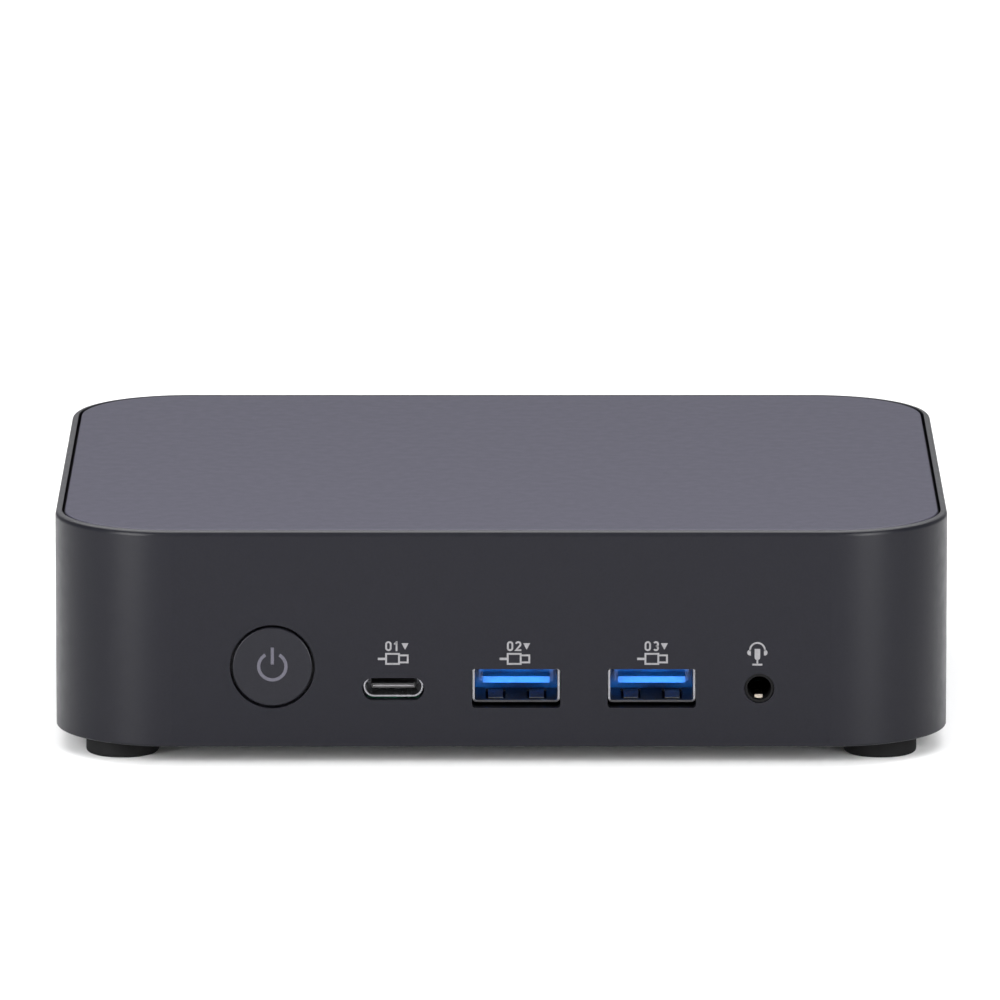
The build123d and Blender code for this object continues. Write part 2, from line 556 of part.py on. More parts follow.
# ---------------------------------------------------------------- rear sockets

REAR_PORT_Y = REAR_Y - REAR_RECESS

POWER_BODY_WIDTH, POWER_BODY_HEIGHT, POWER_BODY_FRONT_Y = 9.0, 9.6, 42.5
POWER_COLLAR, POWER_DEPTH, PIN_RADIUS, PIN_LENGTH, PIN_RECESS = 4.0, 10.5, 1.0, 9.5, 1.0

with BuildPart() as dc_jack_body:
    body_rear_y = WALL_REAR_Y - PANEL_FLANGE - TOUCH
    slab(
        POWER_X,
        (POWER_BODY_FRONT_Y + body_rear_y) / 2,
        BOARD_TOP_Z,
        POWER_BODY_WIDTH,
        body_rear_y - POWER_BODY_FRONT_Y,
        POWER_BODY_HEIGHT,
    )
    fillet(dc_jack_body.edges().filter_by(Axis.Y), 0.6)
    for radius, depth, mode in (
        (POWER_RADIUS, POWER_COLLAR, Mode.ADD),
        (POWER_BORE, POWER_DEPTH, Mode.SUBTRACT),
    ):
        with BuildSketch(across(REAR_PORT_Y)):
            with Locations((POWER_X, POWER_Z)):
                Circle(radius)
        extrude(amount=depth, mode=mode)
finish(dc_jack_body, "dc_jack_body")

with BuildPart() as dc_jack_pin:
    with BuildSketch(across(REAR_PORT_Y - PIN_RECESS)):
        with Locations((POWER_X, POWER_Z)):
            Circle(PIN_RADIUS)
    extrude(amount=PIN_LENGTH)
    fillet(dc_jack_pin.faces().sort_by(Axis.Y)[-1].edges(), 0.5)
finish(dc_jack_pin, "dc_jack_pin")

VIDEO_SHEET, VIDEO_DEPTH, VIDEO_HOLLOW = 0.4, 11.5, 9.5
VIDEO_TONGUE_RECESS, VIDEO_TONGUE_RISE, VIDEO_TONGUE_MARGIN, VIDEO_TONGUE_THICKNESS = 1.2, 0.4, 2.2, 1.3

for index in range(len(VIDEO_X)):
    with BuildPart() as video_shell:
        for inset, depth, mode in ((0, VIDEO_DEPTH, Mode.ADD), (VIDEO_SHEET, VIDEO_HOLLOW, Mode.SUBTRACT)):
            with BuildSketch(across(REAR_PORT_Y)):
                video_outline(index, inset)
            extrude(amount=depth, mode=mode)
    finish(video_shell, f"video_port_{index + 1}_shell")
    with BuildPart() as video_tongue:
        with BuildSketch(across(REAR_PORT_Y - VIDEO_TONGUE_RECESS)):
            with Locations((VIDEO_X[index], VIDEO_Z + VIDEO_TONGUE_RISE)):
                RectangleRounded(VIDEO_WIDTH[index] - 2 * VIDEO_TONGUE_MARGIN, VIDEO_TONGUE_THICKNESS, 0.2)
        extrude(amount=VIDEO_HOLLOW - VIDEO_TONGUE_RECESS)
    finish(video_tongue, f"video_port_{index + 1}_tongue")

LAN_WALL, LAN_FIT = 0.35, 0.02
LAN_MOUTH_WIDTH, LAN_MOUTH_Z, LAN_MOUTH_HEIGHT, LAN_MOUTH_DEPTH = 11.8, 12.9, 7.0, 15.0
LATCH_WIDTH, LATCH_HEIGHT = 6.0, 1.4
LAMP_SPREAD, LAMP_Z, LAMP_WIDTH, LAMP_HEIGHT, LAMP_DEPTH = 5.2, 20.8, 3.0, 1.8, 1.0
LAN_CONTACTS, LAN_CONTACT_PITCH, LAN_CONTACT_WIDTH = 8, 1.02, 0.36
LAN_Y = REAR_PORT_Y - LAN_DEPTH / 2

with BuildPart() as lan_jack_shell:
    slab(LAN_X, LAN_Y, BOARD_TOP_Z, LAN_WIDTH, LAN_DEPTH, LAN_HEIGHT)
    slab(
        LAN_X,
        LAN_Y + LAN_WALL / 2,
        BOARD_TOP_Z,
        LAN_WIDTH - 2 * LAN_WALL,
        LAN_DEPTH - LAN_WALL,
        LAN_HEIGHT - LAN_WALL,
        Mode.SUBTRACT,
    )
finish(lan_jack_shell, "lan_jack_shell")

with BuildPart() as lan_jack_insert:
    slab(
        LAN_X,
        LAN_Y + LAN_WALL / 2,
        BOARD_TOP_Z,
        LAN_WIDTH - 2 * (LAN_WALL + LAN_FIT),
        LAN_DEPTH - LAN_WALL - 6 * LAN_FIT,
        LAN_HEIGHT - LAN_WALL - LAN_FIT,
    )
    mouth_y = REAR_PORT_Y - LAN_MOUTH_DEPTH / 2
    slab(LAN_X, mouth_y, LAN_MOUTH_Z, LAN_MOUTH_WIDTH, LAN_MOUTH_DEPTH, LAN_MOUTH_HEIGHT, Mode.SUBTRACT)
    latch_z = LAN_MOUTH_Z - LATCH_HEIGHT
    slab(LAN_X, mouth_y, latch_z, LATCH_WIDTH, LAN_MOUTH_DEPTH, LATCH_HEIGHT, Mode.SUBTRACT)
    # windows for the two indicator lights above the mouth
    lamp_y = REAR_PORT_Y - LAMP_DEPTH / 2
    for lamp_x in (LAN_X - LAMP_SPREAD, LAN_X + LAMP_SPREAD):
        slab(lamp_x, lamp_y, LAMP_Z, LAMP_WIDTH, LAMP_DEPTH, LAMP_HEIGHT, Mode.SUBTRACT)
finish(lan_jack_insert, "lan_jack_insert")

with BuildPart() as lan_jack_contacts:
    mouth_top_z = LAN_MOUTH_Z + LAN_MOUTH_HEIGHT
    for number in range(LAN_CONTACTS):
        contact_x = LAN_X + (number - (LAN_CONTACTS - 1) / 2) * LAN_CONTACT_PITCH
        with BuildSketch(Plane.YZ.offset(contact_x - LAN_CONTACT_WIDTH / 2)):
            with BuildLine():
                # a thin wedge that leans down into the mouth towards its back
                Polyline(
                    (REAR_PORT_Y - 3.0, mouth_top_z),
                    (REAR_PORT_Y - 3.4, mouth_top_z),
                    (REAR_PORT_Y - 10.0, mouth_top_z - 1.9),
                    (REAR_PORT_Y - 9.7, mouth_top_z - 2.1),
                    close=True,
                )
            make_face()
        extrude(amount=LAN_CONTACT_WIDTH)
finish(lan_jack_contacts, "lan_jack_contacts")

STACK_MOUTH_HEIGHT, STACK_BACK, STACK_FIT = 5.1, 1.5, 0.02
STACK_ROOT, STACK_TONGUE_RECESS, STACK_TONGUE_RISE, STACK_TONGUE_THICKNESS = 3.5, 0.8, 3.5, 1.84
STACK_MOUTHS = (STACK_Z + SHEET, STACK_Z + STACK_HEIGHT - SHEET - STACK_MOUTH_HEIGHT)
STACK_HOLLOW = STACK_DEPTH - STACK_BACK
STACK_BACK_Y = REAR_PORT_Y - STACK_HOLLOW

with BuildPart() as usb_stack_shell:
    slab(STACK_X, REAR_PORT_Y - STACK_DEPTH / 2, STACK_Z, WIDE_PORT_WIDTH, STACK_DEPTH, STACK_HEIGHT)
    fillet(usb_stack_shell.edges().filter_by(Axis.Y), 0.4)
    width = WIDE_PORT_WIDTH - 2 * SHEET
    for mouth_z in STACK_MOUTHS:
        middle_y = REAR_PORT_Y - STACK_HOLLOW / 2
        slab(STACK_X, middle_y, mouth_z, width, STACK_HOLLOW, STACK_MOUTH_HEIGHT, Mode.SUBTRACT)
finish(usb_stack_shell, "usb_stack_shell")

with BuildPart() as usb_stack_tongues:
    width = WIDE_PORT_WIDTH - 2 * (SHEET + STACK_FIT)
    height = STACK_MOUTH_HEIGHT - 2 * STACK_FIT
    for mouth_z in STACK_MOUTHS:
        slab(STACK_X, STACK_BACK_Y + STACK_ROOT / 2, mouth_z + STACK_FIT, width, STACK_ROOT, height)
        with BuildSketch(across(REAR_PORT_Y - STACK_TONGUE_RECESS)):
            with Locations((STACK_X, mouth_z + STACK_TONGUE_RISE)):
                RectangleRounded(TONGUE_WIDTH, STACK_TONGUE_THICKNESS, 0.25)
        extrude(amount=STACK_HOLLOW - STACK_TONGUE_RECESS)
finish(usb_stack_tongues, "usb_stack_tongues")

# ---------------------------------------------------------------- board and what it carries

BOARD_CORNER = 7.0

with BuildPart() as main_board:
    slab(0, 0, BOARD_Z, BOARD_WIDTH, BOARD_REAR_Y - BOARD_FRONT_Y, BOARD_THICKNESS)
    chamfer(main_board.edges().filter_by(Axis.Z), BOARD_CORNER)
    for x, y in CORNERS:
        post(x, y, BOARD_Z, BOARD_TOP_Z, CORNER_POST_RADIUS + 1.0, Mode.SUBTRACT)
    for x, y in BOARD_POSTS:
        post(x, y, BOARD_Z, BOARD_TOP_Z, SCREW_RADIUS + 0.3, Mode.SUBTRACT)
    # notches for the sockets that sit lower than the board's face: (x, width, front, back)
    wide = WIDE_PORT_WIDTH + 2 * FIT
    wide_back_y = PORT_Y + WIDE_PORT_DEPTH + FIT
    jack_back_y = JACK_Y + JACK_LENGTH + FIT
    stack_front_y = REAR_PORT_Y - STACK_DEPTH - FIT
    notches = [(x, wide, BOARD_FRONT_Y, wide_back_y) for x in WIDE_PORT_X]
    notches.append((JACK_X, JACK_BODY + 1.0, BOARD_FRONT_Y, jack_back_y))
    notches.append((STACK_X, wide, stack_front_y, BOARD_REAR_Y))
    for x, width, y0, y1 in notches:
        slab(x, (y0 + y1) / 2, BOARD_Z, width, y1 - y0, BOARD_THICKNESS, Mode.SUBTRACT)
finish(main_board, "main_board")

PACKAGE_WIDTH, PACKAGE_DEPTH, PACKAGE_HEIGHT = 44.0, 25.0, 1.2
DIE_WIDTH, DIE_DEPTH = 16.0, 10.0

with BuildPart() as cpu_package:
    slab(CPU_X, CPU_Y, BOARD_TOP_Z, PACKAGE_WIDTH, PACKAGE_DEPTH, PACKAGE_HEIGHT)
    chamfer(cpu_package.edges().filter_by(Axis.Z), 0.6)
finish(cpu_package, "cpu_package")

with BuildPart() as cpu_die:
    package_top_z = BOARD_TOP_Z + PACKAGE_HEIGHT
    slab(CPU_X, CPU_Y, package_top_z, DIE_WIDTH, DIE_DEPTH, DIE_TOP_Z - package_top_z)
finish(cpu_die, "cpu_die")

# chips as (x, y, width, depth, height)
CHIPS = [
    (-40.0, -30.0, 10.0, 10.0, 1.0),
    (-22.0, -34.0, 6.0, 5.0, 1.6),
    (22.0, -34.0, 7.0, 7.0, 0.9),
    (-36.0, 33.0, 6.0, 6.0, 0.9),
    (14.0, 36.0, 8.0, 8.0, 0.9),
    (30.0, 12.0, 12.0, 12.0, 1.1),
    (44.0, 18.0, 5.0, 6.0, 1.4),
]
with BuildPart() as board_chips:
    for x, y, width, depth, height in CHIPS:
        slab(x, y, BOARD_TOP_Z, width, depth, height)
finish(board_chips, "board_chips")

INDUCTOR, INDUCTOR_HEIGHT, INDUCTOR_PITCH, INDUCTOR_Y = 7.0, 4.2, 9.0, -28.0
with BuildPart() as board_inductors:
    with GridLocations(INDUCTOR_PITCH, 1, 4, 1):
        slab(CPU_X, INDUCTOR_Y, BOARD_TOP_Z, INDUCTOR, INDUCTOR, INDUCTOR_HEIGHT)
    fillet(board_inductors.edges().filter_by(Axis.Z), 0.8)
finish(board_inductors, "board_inductors")

CAPACITOR_X, CAPACITOR_Y, CAPACITOR_RADIUS, CAPACITOR_HEIGHT = 36.0, -2.0, 2.5, 5.8
with BuildPart() as board_capacitors:
    with Locations((CAPACITOR_X, CAPACITOR_Y, BOARD_TOP_Z)):
        with GridLocations(6.5, 8.0, 3, 2):
            Cylinder(CAPACITOR_RADIUS, CAPACITOR_HEIGHT, align=(Align.CENTER, Align.CENTER, Align.MIN))
    fillet(board_capacitors.edges().group_by(Axis.Z)[-1], 0.5)
finish(board_capacitors, "board_capacitors")

CELL_X, CELL_Y, CELL_RADIUS, CELL_HEIGHT = 46.0, -32.0, 10.0, 3.2
CUP_WALL, CUP_HEIGHT, CUP_FLOOR, CUP_GAP = 1.4, 4.2, 0.8, 6.0
CUP_FLOOR_Z = BOARD_TOP_Z + CUP_FLOOR

with BuildPart() as coin_cell_holder:
    cup_top_z = BOARD_TOP_Z + CUP_HEIGHT
    cup_radius = CELL_RADIUS + CUP_WALL
    post(CELL_X, CELL_Y, BOARD_TOP_Z, cup_top_z, cup_radius)
    post(CELL_X, CELL_Y, CUP_FLOOR_Z, cup_top_z, CELL_RADIUS + 0.1, Mode.SUBTRACT)
    # gaps in the rim to lift the cell out
    slab(CELL_X, CELL_Y, CUP_FLOOR_Z, 2.5 * cup_radius, CUP_GAP, CUP_HEIGHT - CUP_FLOOR, Mode.SUBTRACT)
finish(coin_cell_holder, "coin_cell_holder")

with BuildPart() as coin_cell:
    post(CELL_X, CELL_Y, CUP_FLOOR_Z, CUP_FLOOR_Z + CELL_HEIGHT, CELL_RADIUS)
    fillet(coin_cell.edges().group_by(Axis.Z)[-1], 0.3)
finish(coin_cell, "coin_cell")

# memory and drive both hang under the board
MEMORY_Z, MEMORY_Y0, MEMORY_Y1 = 6.3, -32.0, -2.0
MEMORY_WIDTH, MEMORY_BOARD, MEMORY_INSERTION = 67.6, 1.2, 2.4
SOCKET_WIDTH, SOCKET_DEPTH, SOCKET_DROP, ARM_WIDTH = 73.0, 6.5, 4.0, 2.1

with BuildPart() as memory_socket:
    socket_front_y = MEMORY_Y1 - 1.5
    socket_y = socket_front_y + SOCKET_DEPTH / 2
    slab(0, socket_y, BOARD_Z - SOCKET_DROP, SOCKET_WIDTH, SOCKET_DEPTH, SOCKET_DROP)
    # a spring arm along each side of the module
    arm_length = socket_front_y - MEMORY_Y0 - 6.0
    for side in (-1, 1):
        arm_x = side * (SOCKET_WIDTH - ARM_WIDTH) / 2
        slab(arm_x, socket_front_y - arm_length / 2, BOARD_Z - 3.4, ARM_WIDTH, arm_length, 2.0)
    slot_depth = MEMORY_Y1 + MEMORY_INSERTION + 0.1 - socket_front_y
    slab(
        0,
        socket_front_y + slot_depth / 2,
        MEMORY_Z - 0.1,
        MEMORY_WIDTH + FIT,
        slot_depth,
        MEMORY_BOARD + 0.2,
        Mode.SUBTRACT,
    )
finish(memory_socket, "memory_socket")

with BuildPart() as memory_module:
    memory_length = MEMORY_Y1 + MEMORY_INSERTION - MEMORY_Y0
    slab(0, MEMORY_Y0 + memory_length / 2, MEMORY_Z, MEMORY_WIDTH, memory_length, MEMORY_BOARD)
    with GridLocations(16.0, 1, 4, 1):
        slab(0, (MEMORY_Y0 + MEMORY_Y1) / 2, MEMORY_Z - 1.0, 11.0, 13.0, 1.0)
finish(memory_module, "memory_module")

SSD_X0, SSD_X1, SSD_Y, SSD_WIDTH, SSD_Z, SSD_BOARD = -42.0, 38.0, 20.0, 22.0, 6.6, 0.8
SSD_SOCKET_DROP, SSD_SOCKET_BACK, SSD_INSERTION = 3.6, 5.0, 3.0
# the drive's chips, as (x, width) on its lower face
SSD_CHIPS = ((-26.0, 16.0), (-6.0, 16.0), (16.0, 14.0))

with BuildPart() as ssd_socket:
    y0, y1 = SSD_Y - SSD_WIDTH / 2, SSD_Y + SSD_WIDTH / 2
    block(SSD_X1 - SSD_INSERTION, SSD_X1 + SSD_SOCKET_BACK, y0, y1, BOARD_Z - SSD_SOCKET_DROP, BOARD_Z)
    slot_top_z = SSD_Z + SSD_BOARD + 0.1
    block(SSD_X1 - SSD_INSERTION, SSD_X1 + 0.1, y0, y1, SSD_Z - 0.1, slot_top_z, Mode.SUBTRACT)
finish(ssd_socket, "ssd_socket")

SSD_SCREW_RADIUS, SSD_HEAD_RADIUS, SSD_STUD_RADIUS, SSD_HEAD = 1.7, 2.4, 2.6, 0.9

with BuildPart() as ssd_card:
    slab((SSD_X0 + SSD_X1) / 2, SSD_Y, SSD_Z, SSD_X1 - SSD_X0, SSD_WIDTH - FIT, SSD_BOARD)
    post(SSD_X0, SSD_Y, SSD_Z, SSD_Z + SSD_BOARD, SSD_SCREW_RADIUS + TOUCH, Mode.SUBTRACT)
    for chip_x, width in SSD_CHIPS:
        slab(chip_x, SSD_Y, SSD_Z - 1.0, width, 14.0, 1.0)
finish(ssd_card, "ssd_card")

with BuildPart() as ssd_screw:
    post(SSD_X0, SSD_Y, SSD_Z, BOARD_Z, SSD_SCREW_RADIUS)
    post(SSD_X0, SSD_Y, SSD_Z + SSD_BOARD + TOUCH, BOARD_Z, SSD_STUD_RADIUS)
    post(SSD_X0, SSD_Y, SSD_Z - SSD_HEAD, SSD_Z, SSD_HEAD_RADIUS)
finish(ssd_screw, "ssd_screw")

WIFI_X, WIFI_Y, WIFI_Z = -42.5, 7.0, 12.6
WIFI_WIDTH, WIFI_LENGTH, WIFI_BOARD, WIFI_CAN_WIDTH, WIFI_CAN_HEIGHT = 22.0, 30.0, 0.8, 16.0, 1.4
WIFI_SOCKET_Y, WIFI_SOCKET_DEPTH = 21.5, 7.0

with BuildPart() as wifi_card:
    slab(WIFI_X, WIFI_Y, WIFI_Z, WIFI_WIDTH, WIFI_LENGTH, WIFI_BOARD)
    slab(WIFI_X, WIFI_Y - 1.0, WIFI_Z + WIFI_BOARD, WIFI_CAN_WIDTH, 18.0, WIFI_CAN_HEIGHT)
    # its socket and its post down to the board
    slab(WIFI_X, WIFI_SOCKET_Y, BOARD_TOP_Z, WIFI_WIDTH, WIFI_SOCKET_DEPTH, WIFI_Z - BOARD_TOP_Z)
    post(WIFI_X, WIFI_Y + 2.0 - WIFI_LENGTH / 2, BOARD_TOP_Z, WIFI_Z, 2.4)
finish(wifi_card, "wifi_card")

ANTENNA_X = -WIDTH / 2 + WALL
ANTENNA_THICKNESS, ANTENNA_Z, ANTENNA_HEIGHT = 0.8, 15.0, 10.0
# each antenna's ends along the left wall
ANTENNAS = ((-32.0, -10.0), (4.0, 24.0))
with BuildPart() as antennas:
    for y0, y1 in ANTENNAS:
        block(ANTENNA_X, ANTENNA_X + ANTENNA_THICKNESS, y0, y1, ANTENNA_Z, ANTENNA_Z + ANTENNA_HEIGHT)
finish(antennas, "antennas")

COAX_RADIUS, COAX_BEND, COAX_TOP_Z, COAX_START = 0.6, 2.4, 20.0, 9.2
COAX_X = ANTENNA_X + ANTENNA_THICKNESS + COAX_RADIUS + 0.1


def coax_route(start_y, end_y):
    """The line a thin lead takes from the radio card to its antenna on the left wall."""
    lead_z = WIFI_Z + WIFI_BOARD + COAX_RADIUS + TOUCH
    with BuildLine() as line:
        FilletPolyline(
            (WIFI_X - COAX_START, start_y, lead_z),
            (COAX_X, start_y, lead_z),
            (COAX_X, start_y, COAX_TOP_Z),
            (COAX_X, end_y, COAX_TOP_Z),
            radius=COAX_BEND,
        )
    return line.wire()


with BuildPart() as antenna_leads:
    for route in (coax_route(-7.0, -16.0), coax_route(2.0, 12.0)):
        with BuildSketch(Plane(origin=route @ 0, z_dir=route % 0)):
            Circle(COAX_RADIUS)
        sweep(path=route)
finish(antenna_leads, "antenna_leads")

# ---------------------------------------------------------------- cooler and fan

BLOCK_SPAN, BLOCK_FOOT, BLOCK_HOLE_SPACING = 40.0, 1.5, 34.0
RISER_WIDTH, RISER_DEPTH = 24.0, 28.0
BLOCK_FOOT_TOP_Z = DIE_TOP_Z + BLOCK_FOOT
HOLE_OFFSETS = (-BLOCK_HOLE_SPACING / 2, BLOCK_HOLE_SPACING / 2)
BLOCK_HOLES = [(CPU_X + x, CPU_Y + y) for x in HOLE_OFFSETS for y in HOLE_OFFSETS]

with BuildPart() as heat_block:
    with BuildSketch(Plane.XY.offset(DIE_TOP_Z)):
        with Locations((CPU_X, CPU_Y)):
            RectangleRounded(BLOCK_SPAN, BLOCK_SPAN, 3)
        with Locations(*BLOCK_HOLES):
            Circle(1.5, mode=Mode.SUBTRACT)
    extrude(amount=BLOCK_FOOT)
    slab(CPU_X, CPU_Y, BLOCK_FOOT_TOP_Z, RISER_WIDTH, RISER_DEPTH, PIPE_Z - BLOCK_FOOT_TOP_Z)
finish(heat_block, "heat_block")

with BuildPart() as block_screws:
    for x, y in BLOCK_HOLES:
        post(x, y, BOARD_TOP_Z, DIE_TOP_Z, 2.4)
        post(x, y, DIE_TOP_Z, BLOCK_FOOT_TOP_Z, 1.3)
        post(x, y, BLOCK_FOOT_TOP_Z, BLOCK_FOOT_TOP_Z + 1.6, 2.6)
finish(block_screws, "block_screws")

PIPE_FRONT_Y, PIPE_BEND = -13.0, 11.0
PIPE_MIDDLE_Z = PIPE_Z + PIPE_THICKNESS / 2
with BuildPart() as heat_pipe:
    with BuildLine(Plane.XY.offset(PIPE_MIDDLE_Z)) as pipe_route:
        FilletPolyline(
            (PIPE_X, PIPE_FRONT_Y),
            (PIPE_X, PIPE_REAR_Y),
            (PIPE_END_X, PIPE_REAR_Y),
            radius=PIPE_BEND,
        )
    with BuildSketch(Plane((PIPE_X, PIPE_FRONT_Y, PIPE_MIDDLE_Z), x_dir=(1, 0, 0), z_dir=(0, 1, 0))):
        RectangleRounded(PIPE_WIDTH, PIPE_THICKNESS, PIPE_THICKNESS / 2 - 0.02)
    sweep(path=pipe_route.wire())
finish(heat_pipe, "heat_pipe")

FIN_THICKNESS, FIN_PITCH, FIN_SHEET = 0.4, 1.75, 0.4
FIN_BASE_Z = PIPE_Z + PIPE_THICKNESS
with BuildPart() as fin_stack:
    fin_height = FIN_TOP_Z - FIN_BASE_Z
    channels = int((FIN_X1 - FIN_X0) / FIN_PITCH) - 1
    with BuildSketch(across(FIN_Y1)):
        with Locations(((FIN_X0 + FIN_X1) / 2, FIN_BASE_Z + fin_height / 2)):
            Rectangle(FIN_X1 - FIN_X0, fin_height)
            with GridLocations(FIN_PITCH, 1, channels, 1):
                Rectangle(FIN_PITCH - FIN_THICKNESS, fin_height - 2 * FIN_SHEET, mode=Mode.SUBTRACT)
    extrude(amount=FIN_Y1 - FIN_Y0)
finish(fin_stack, "fin_stack")


def fan_outline(inset):
    """The blower's plan: round at the front, straight to its outlet at the back."""
    radius = (FAN_RIGHT_X - FAN_LEFT_X) / 2 - inset
    round_y = FAN_FRONT_Y + inset + radius
    with Locations((FAN_X, round_y)):
        Circle(radius)
        Rectangle(2 * radius, FAN_REAR_Y - round_y, align=(Align.CENTER, Align.MIN))


FAN_LEGS, FAN_LEG_RADIUS = ((4.0, 33.0), (47.2, 33.0), (FAN_X, FAN_FRONT_Y + 3.2)), 2.2
BEARING_RADIUS, BEARING_TOP_Z = 2.2, 27.0
INLET_RADIUS, INLET_HUB, SPOKE_WIDTH, SPOKES = 15.0, 8.5, 2.4, 3
CUTOFF_WIDTH, CUTOFF_START_Y, CUTOFF_FLAT = 6.8, 24.0, 5.0
FAN_FLOOR_Z = FAN_Z + FAN_SHEET

with BuildPart() as fan_housing:
    with BuildSketch(Plane.XY.offset(FAN_Z)):
        fan_outline(0)
    extrude(amount=FAN_TOP_Z - FAN_SHEET - FAN_Z)
    with BuildSketch(Plane.XY.offset(FAN_FLOOR_Z)):
        fan_outline(FAN_WALL)
    extrude(amount=FAN_TOP_Z - FAN_FLOOR_Z, mode=Mode.SUBTRACT)
    # the inlet, crossed by three spokes that carry the motor
    with BuildSketch(Plane.XY.offset(FAN_Z)):
        with Locations((FAN_X, FAN_Y)):
            Circle(INLET_RADIUS)
            Circle(INLET_HUB, mode=Mode.SUBTRACT)
            with PolarLocations((INLET_RADIUS + INLET_HUB) / 2, SPOKES, start_angle=30):
                Rectangle(INLET_RADIUS - INLET_HUB + 2.5, SPOKE_WIDTH, mode=Mode.SUBTRACT)
    extrude(amount=FAN_SHEET, mode=Mode.SUBTRACT)
    post(FAN_X, FAN_Y, FAN_FLOOR_Z, BEARING_TOP_Z, BEARING_RADIUS)
    post(FAN_X, FAN_Y, FAN_FLOOR_Z, BEARING_TOP_Z, SHAFT_RADIUS + 0.04, Mode.SUBTRACT)
    # the scroll's cut-off beside the outlet
    with BuildSketch(Plane.XY.offset(FAN_FLOOR_Z)):
        edge_x = FAN_RIGHT_X - FAN_WALL
        with BuildLine():
            Polyline(
                (edge_x, FAN_REAR_Y),
                (edge_x, CUTOFF_START_Y),
                (edge_x - CUTOFF_WIDTH, FAN_REAR_Y - CUTOFF_FLAT),
                (edge_x - CUTOFF_WIDTH, FAN_REAR_Y),
                close=True,
            )
        make_face()
    extrude(amount=FAN_TOP_Z - FAN_SHEET - FAN_FLOOR_Z)
    for x, y in FAN_LEGS:
        post(x, y, BOARD_TOP_Z, FAN_Z, FAN_LEG_RADIUS)
finish(fan_housing, "fan_housing")

with BuildPart() as fan_cover:
    with BuildSketch(Plane.XY.offset(FAN_TOP_Z - FAN_SHEET)):
        fan_outline(0)
        with Locations((FAN_X, FAN_Y)):
            Circle(INLET_RADIUS + 0.5, mode=Mode.SUBTRACT)
    extrude(amount=FAN_SHEET)
finish(fan_cover, "fan_cover")

HUB_WALL, HUB_ROOF = 1.0, 1.0
with BuildSketch() as fan_blade:
    with BuildLine():
        ThreePointArc((HUB_RADIUS - 0.3, 0), (16.0, 2.6), BLADE_TIP)
    trace(line_width=BLADE_THICKNESS)

with BuildPart() as fan_impeller:
    with BuildSketch(Plane.XY.offset(IMPELLER_Z)):
        Circle(HUB_RADIUS)
        with PolarLocations(0, BLADES):
            add(fan_blade.sketch)
    extrude(amount=IMPELLER_TOP_Z - IMPELLER_Z)
    roof_z = IMPELLER_TOP_Z - HUB_ROOF
    post(0, 0, IMPELLER_Z, roof_z, HUB_RADIUS - HUB_WALL, Mode.SUBTRACT)
    post(0, 0, roof_z, IMPELLER_TOP_Z, SHAFT_RADIUS + 0.01, Mode.SUBTRACT)
fan_impeller.part = Location((FAN_X, FAN_Y, 0)) * fan_impeller.part
finish(fan_impeller, "fan_impeller")

MAGNET_Z, MAGNET_TOP_Z, MAGNET_THICKNESS = IMPELLER_Z + 0.4, 27.6, 0.9
with BuildPart() as fan_magnet:
    magnet_radius = HUB_RADIUS - HUB_WALL - 0.02
    post(FAN_X, FAN_Y, MAGNET_Z, MAGNET_TOP_Z, magnet_radius)
    post(FAN_X, FAN_Y, MAGNET_Z, MAGNET_TOP_Z, magnet_radius - MAGNET_THICKNESS, Mode.SUBTRACT)
finish(fan_magnet, "fan_magnet")

with BuildPart() as fan_shaft:
    post(FAN_X, FAN_Y, FAN_FLOOR_Z + 0.1, IMPELLER_TOP_Z, SHAFT_RADIUS)
finish(fan_shaft, "fan_shaft")

STATOR_CORE, STATOR_POLES, STATOR_HEIGHT = 4.0, 4, 5.6
with BuildPart() as fan_stator:
    with BuildSketch(Plane.XY.offset(FAN_FLOOR_Z + 0.4)):
        with Locations((FAN_X, FAN_Y)):
            Circle(STATOR_CORE)
            with PolarLocations(STATOR_CORE + 0.6, STATOR_POLES):
                Rectangle(4.2, 3.0)
            Circle(BEARING_RADIUS + 0.02, mode=Mode.SUBTRACT)
    extrude(amount=STATOR_HEIGHT)
finish(fan_stator, "fan_stator")

HEADER_X, HEADER_Y, HEADER_WIDTH, HEADER_DEPTH, HEADER_HEIGHT = 15.0, -33.0, 5.2, 4.0, 4.0
FAN_LEAD_RADIUS, FAN_LEAD_BEND, FAN_LEAD_START_Y, FAN_LEAD_Z = 1.1, 4.0, -17.0, FAN_Z + 1.6
with BuildPart() as fan_lead:
    with BuildLine() as lead_route:
        FilletPolyline(
            (HEADER_X, FAN_LEAD_START_Y, FAN_LEAD_Z),
            (HEADER_X, HEADER_Y, FAN_LEAD_Z),
            (HEADER_X, HEADER_Y, BOARD_TOP_Z + HEADER_HEIGHT),
            radius=FAN_LEAD_BEND,
        )
    with BuildSketch(Plane(origin=lead_route.wire() @ 0, z_dir=lead_route.wire() % 0)):
        Circle(FAN_LEAD_RADIUS)
    sweep(path=lead_route.wire())
    # the plug and header it ends in
    slab(HEADER_X, HEADER_Y, BOARD_TOP_Z, HEADER_WIDTH, HEADER_DEPTH, HEADER_HEIGHT)
finish(fan_lead, "fan_lead")
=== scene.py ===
"""The looks of a palm-sized desktop computer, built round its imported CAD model.

Frame: metres, +X right seen from the front, +Y to the back, +Z up, the origin on the table under
the middle of the case. Places and sizes come from the CAD nodes' boxes; MM turns millimetres
into metres for the small sizes given here.
"""

import math

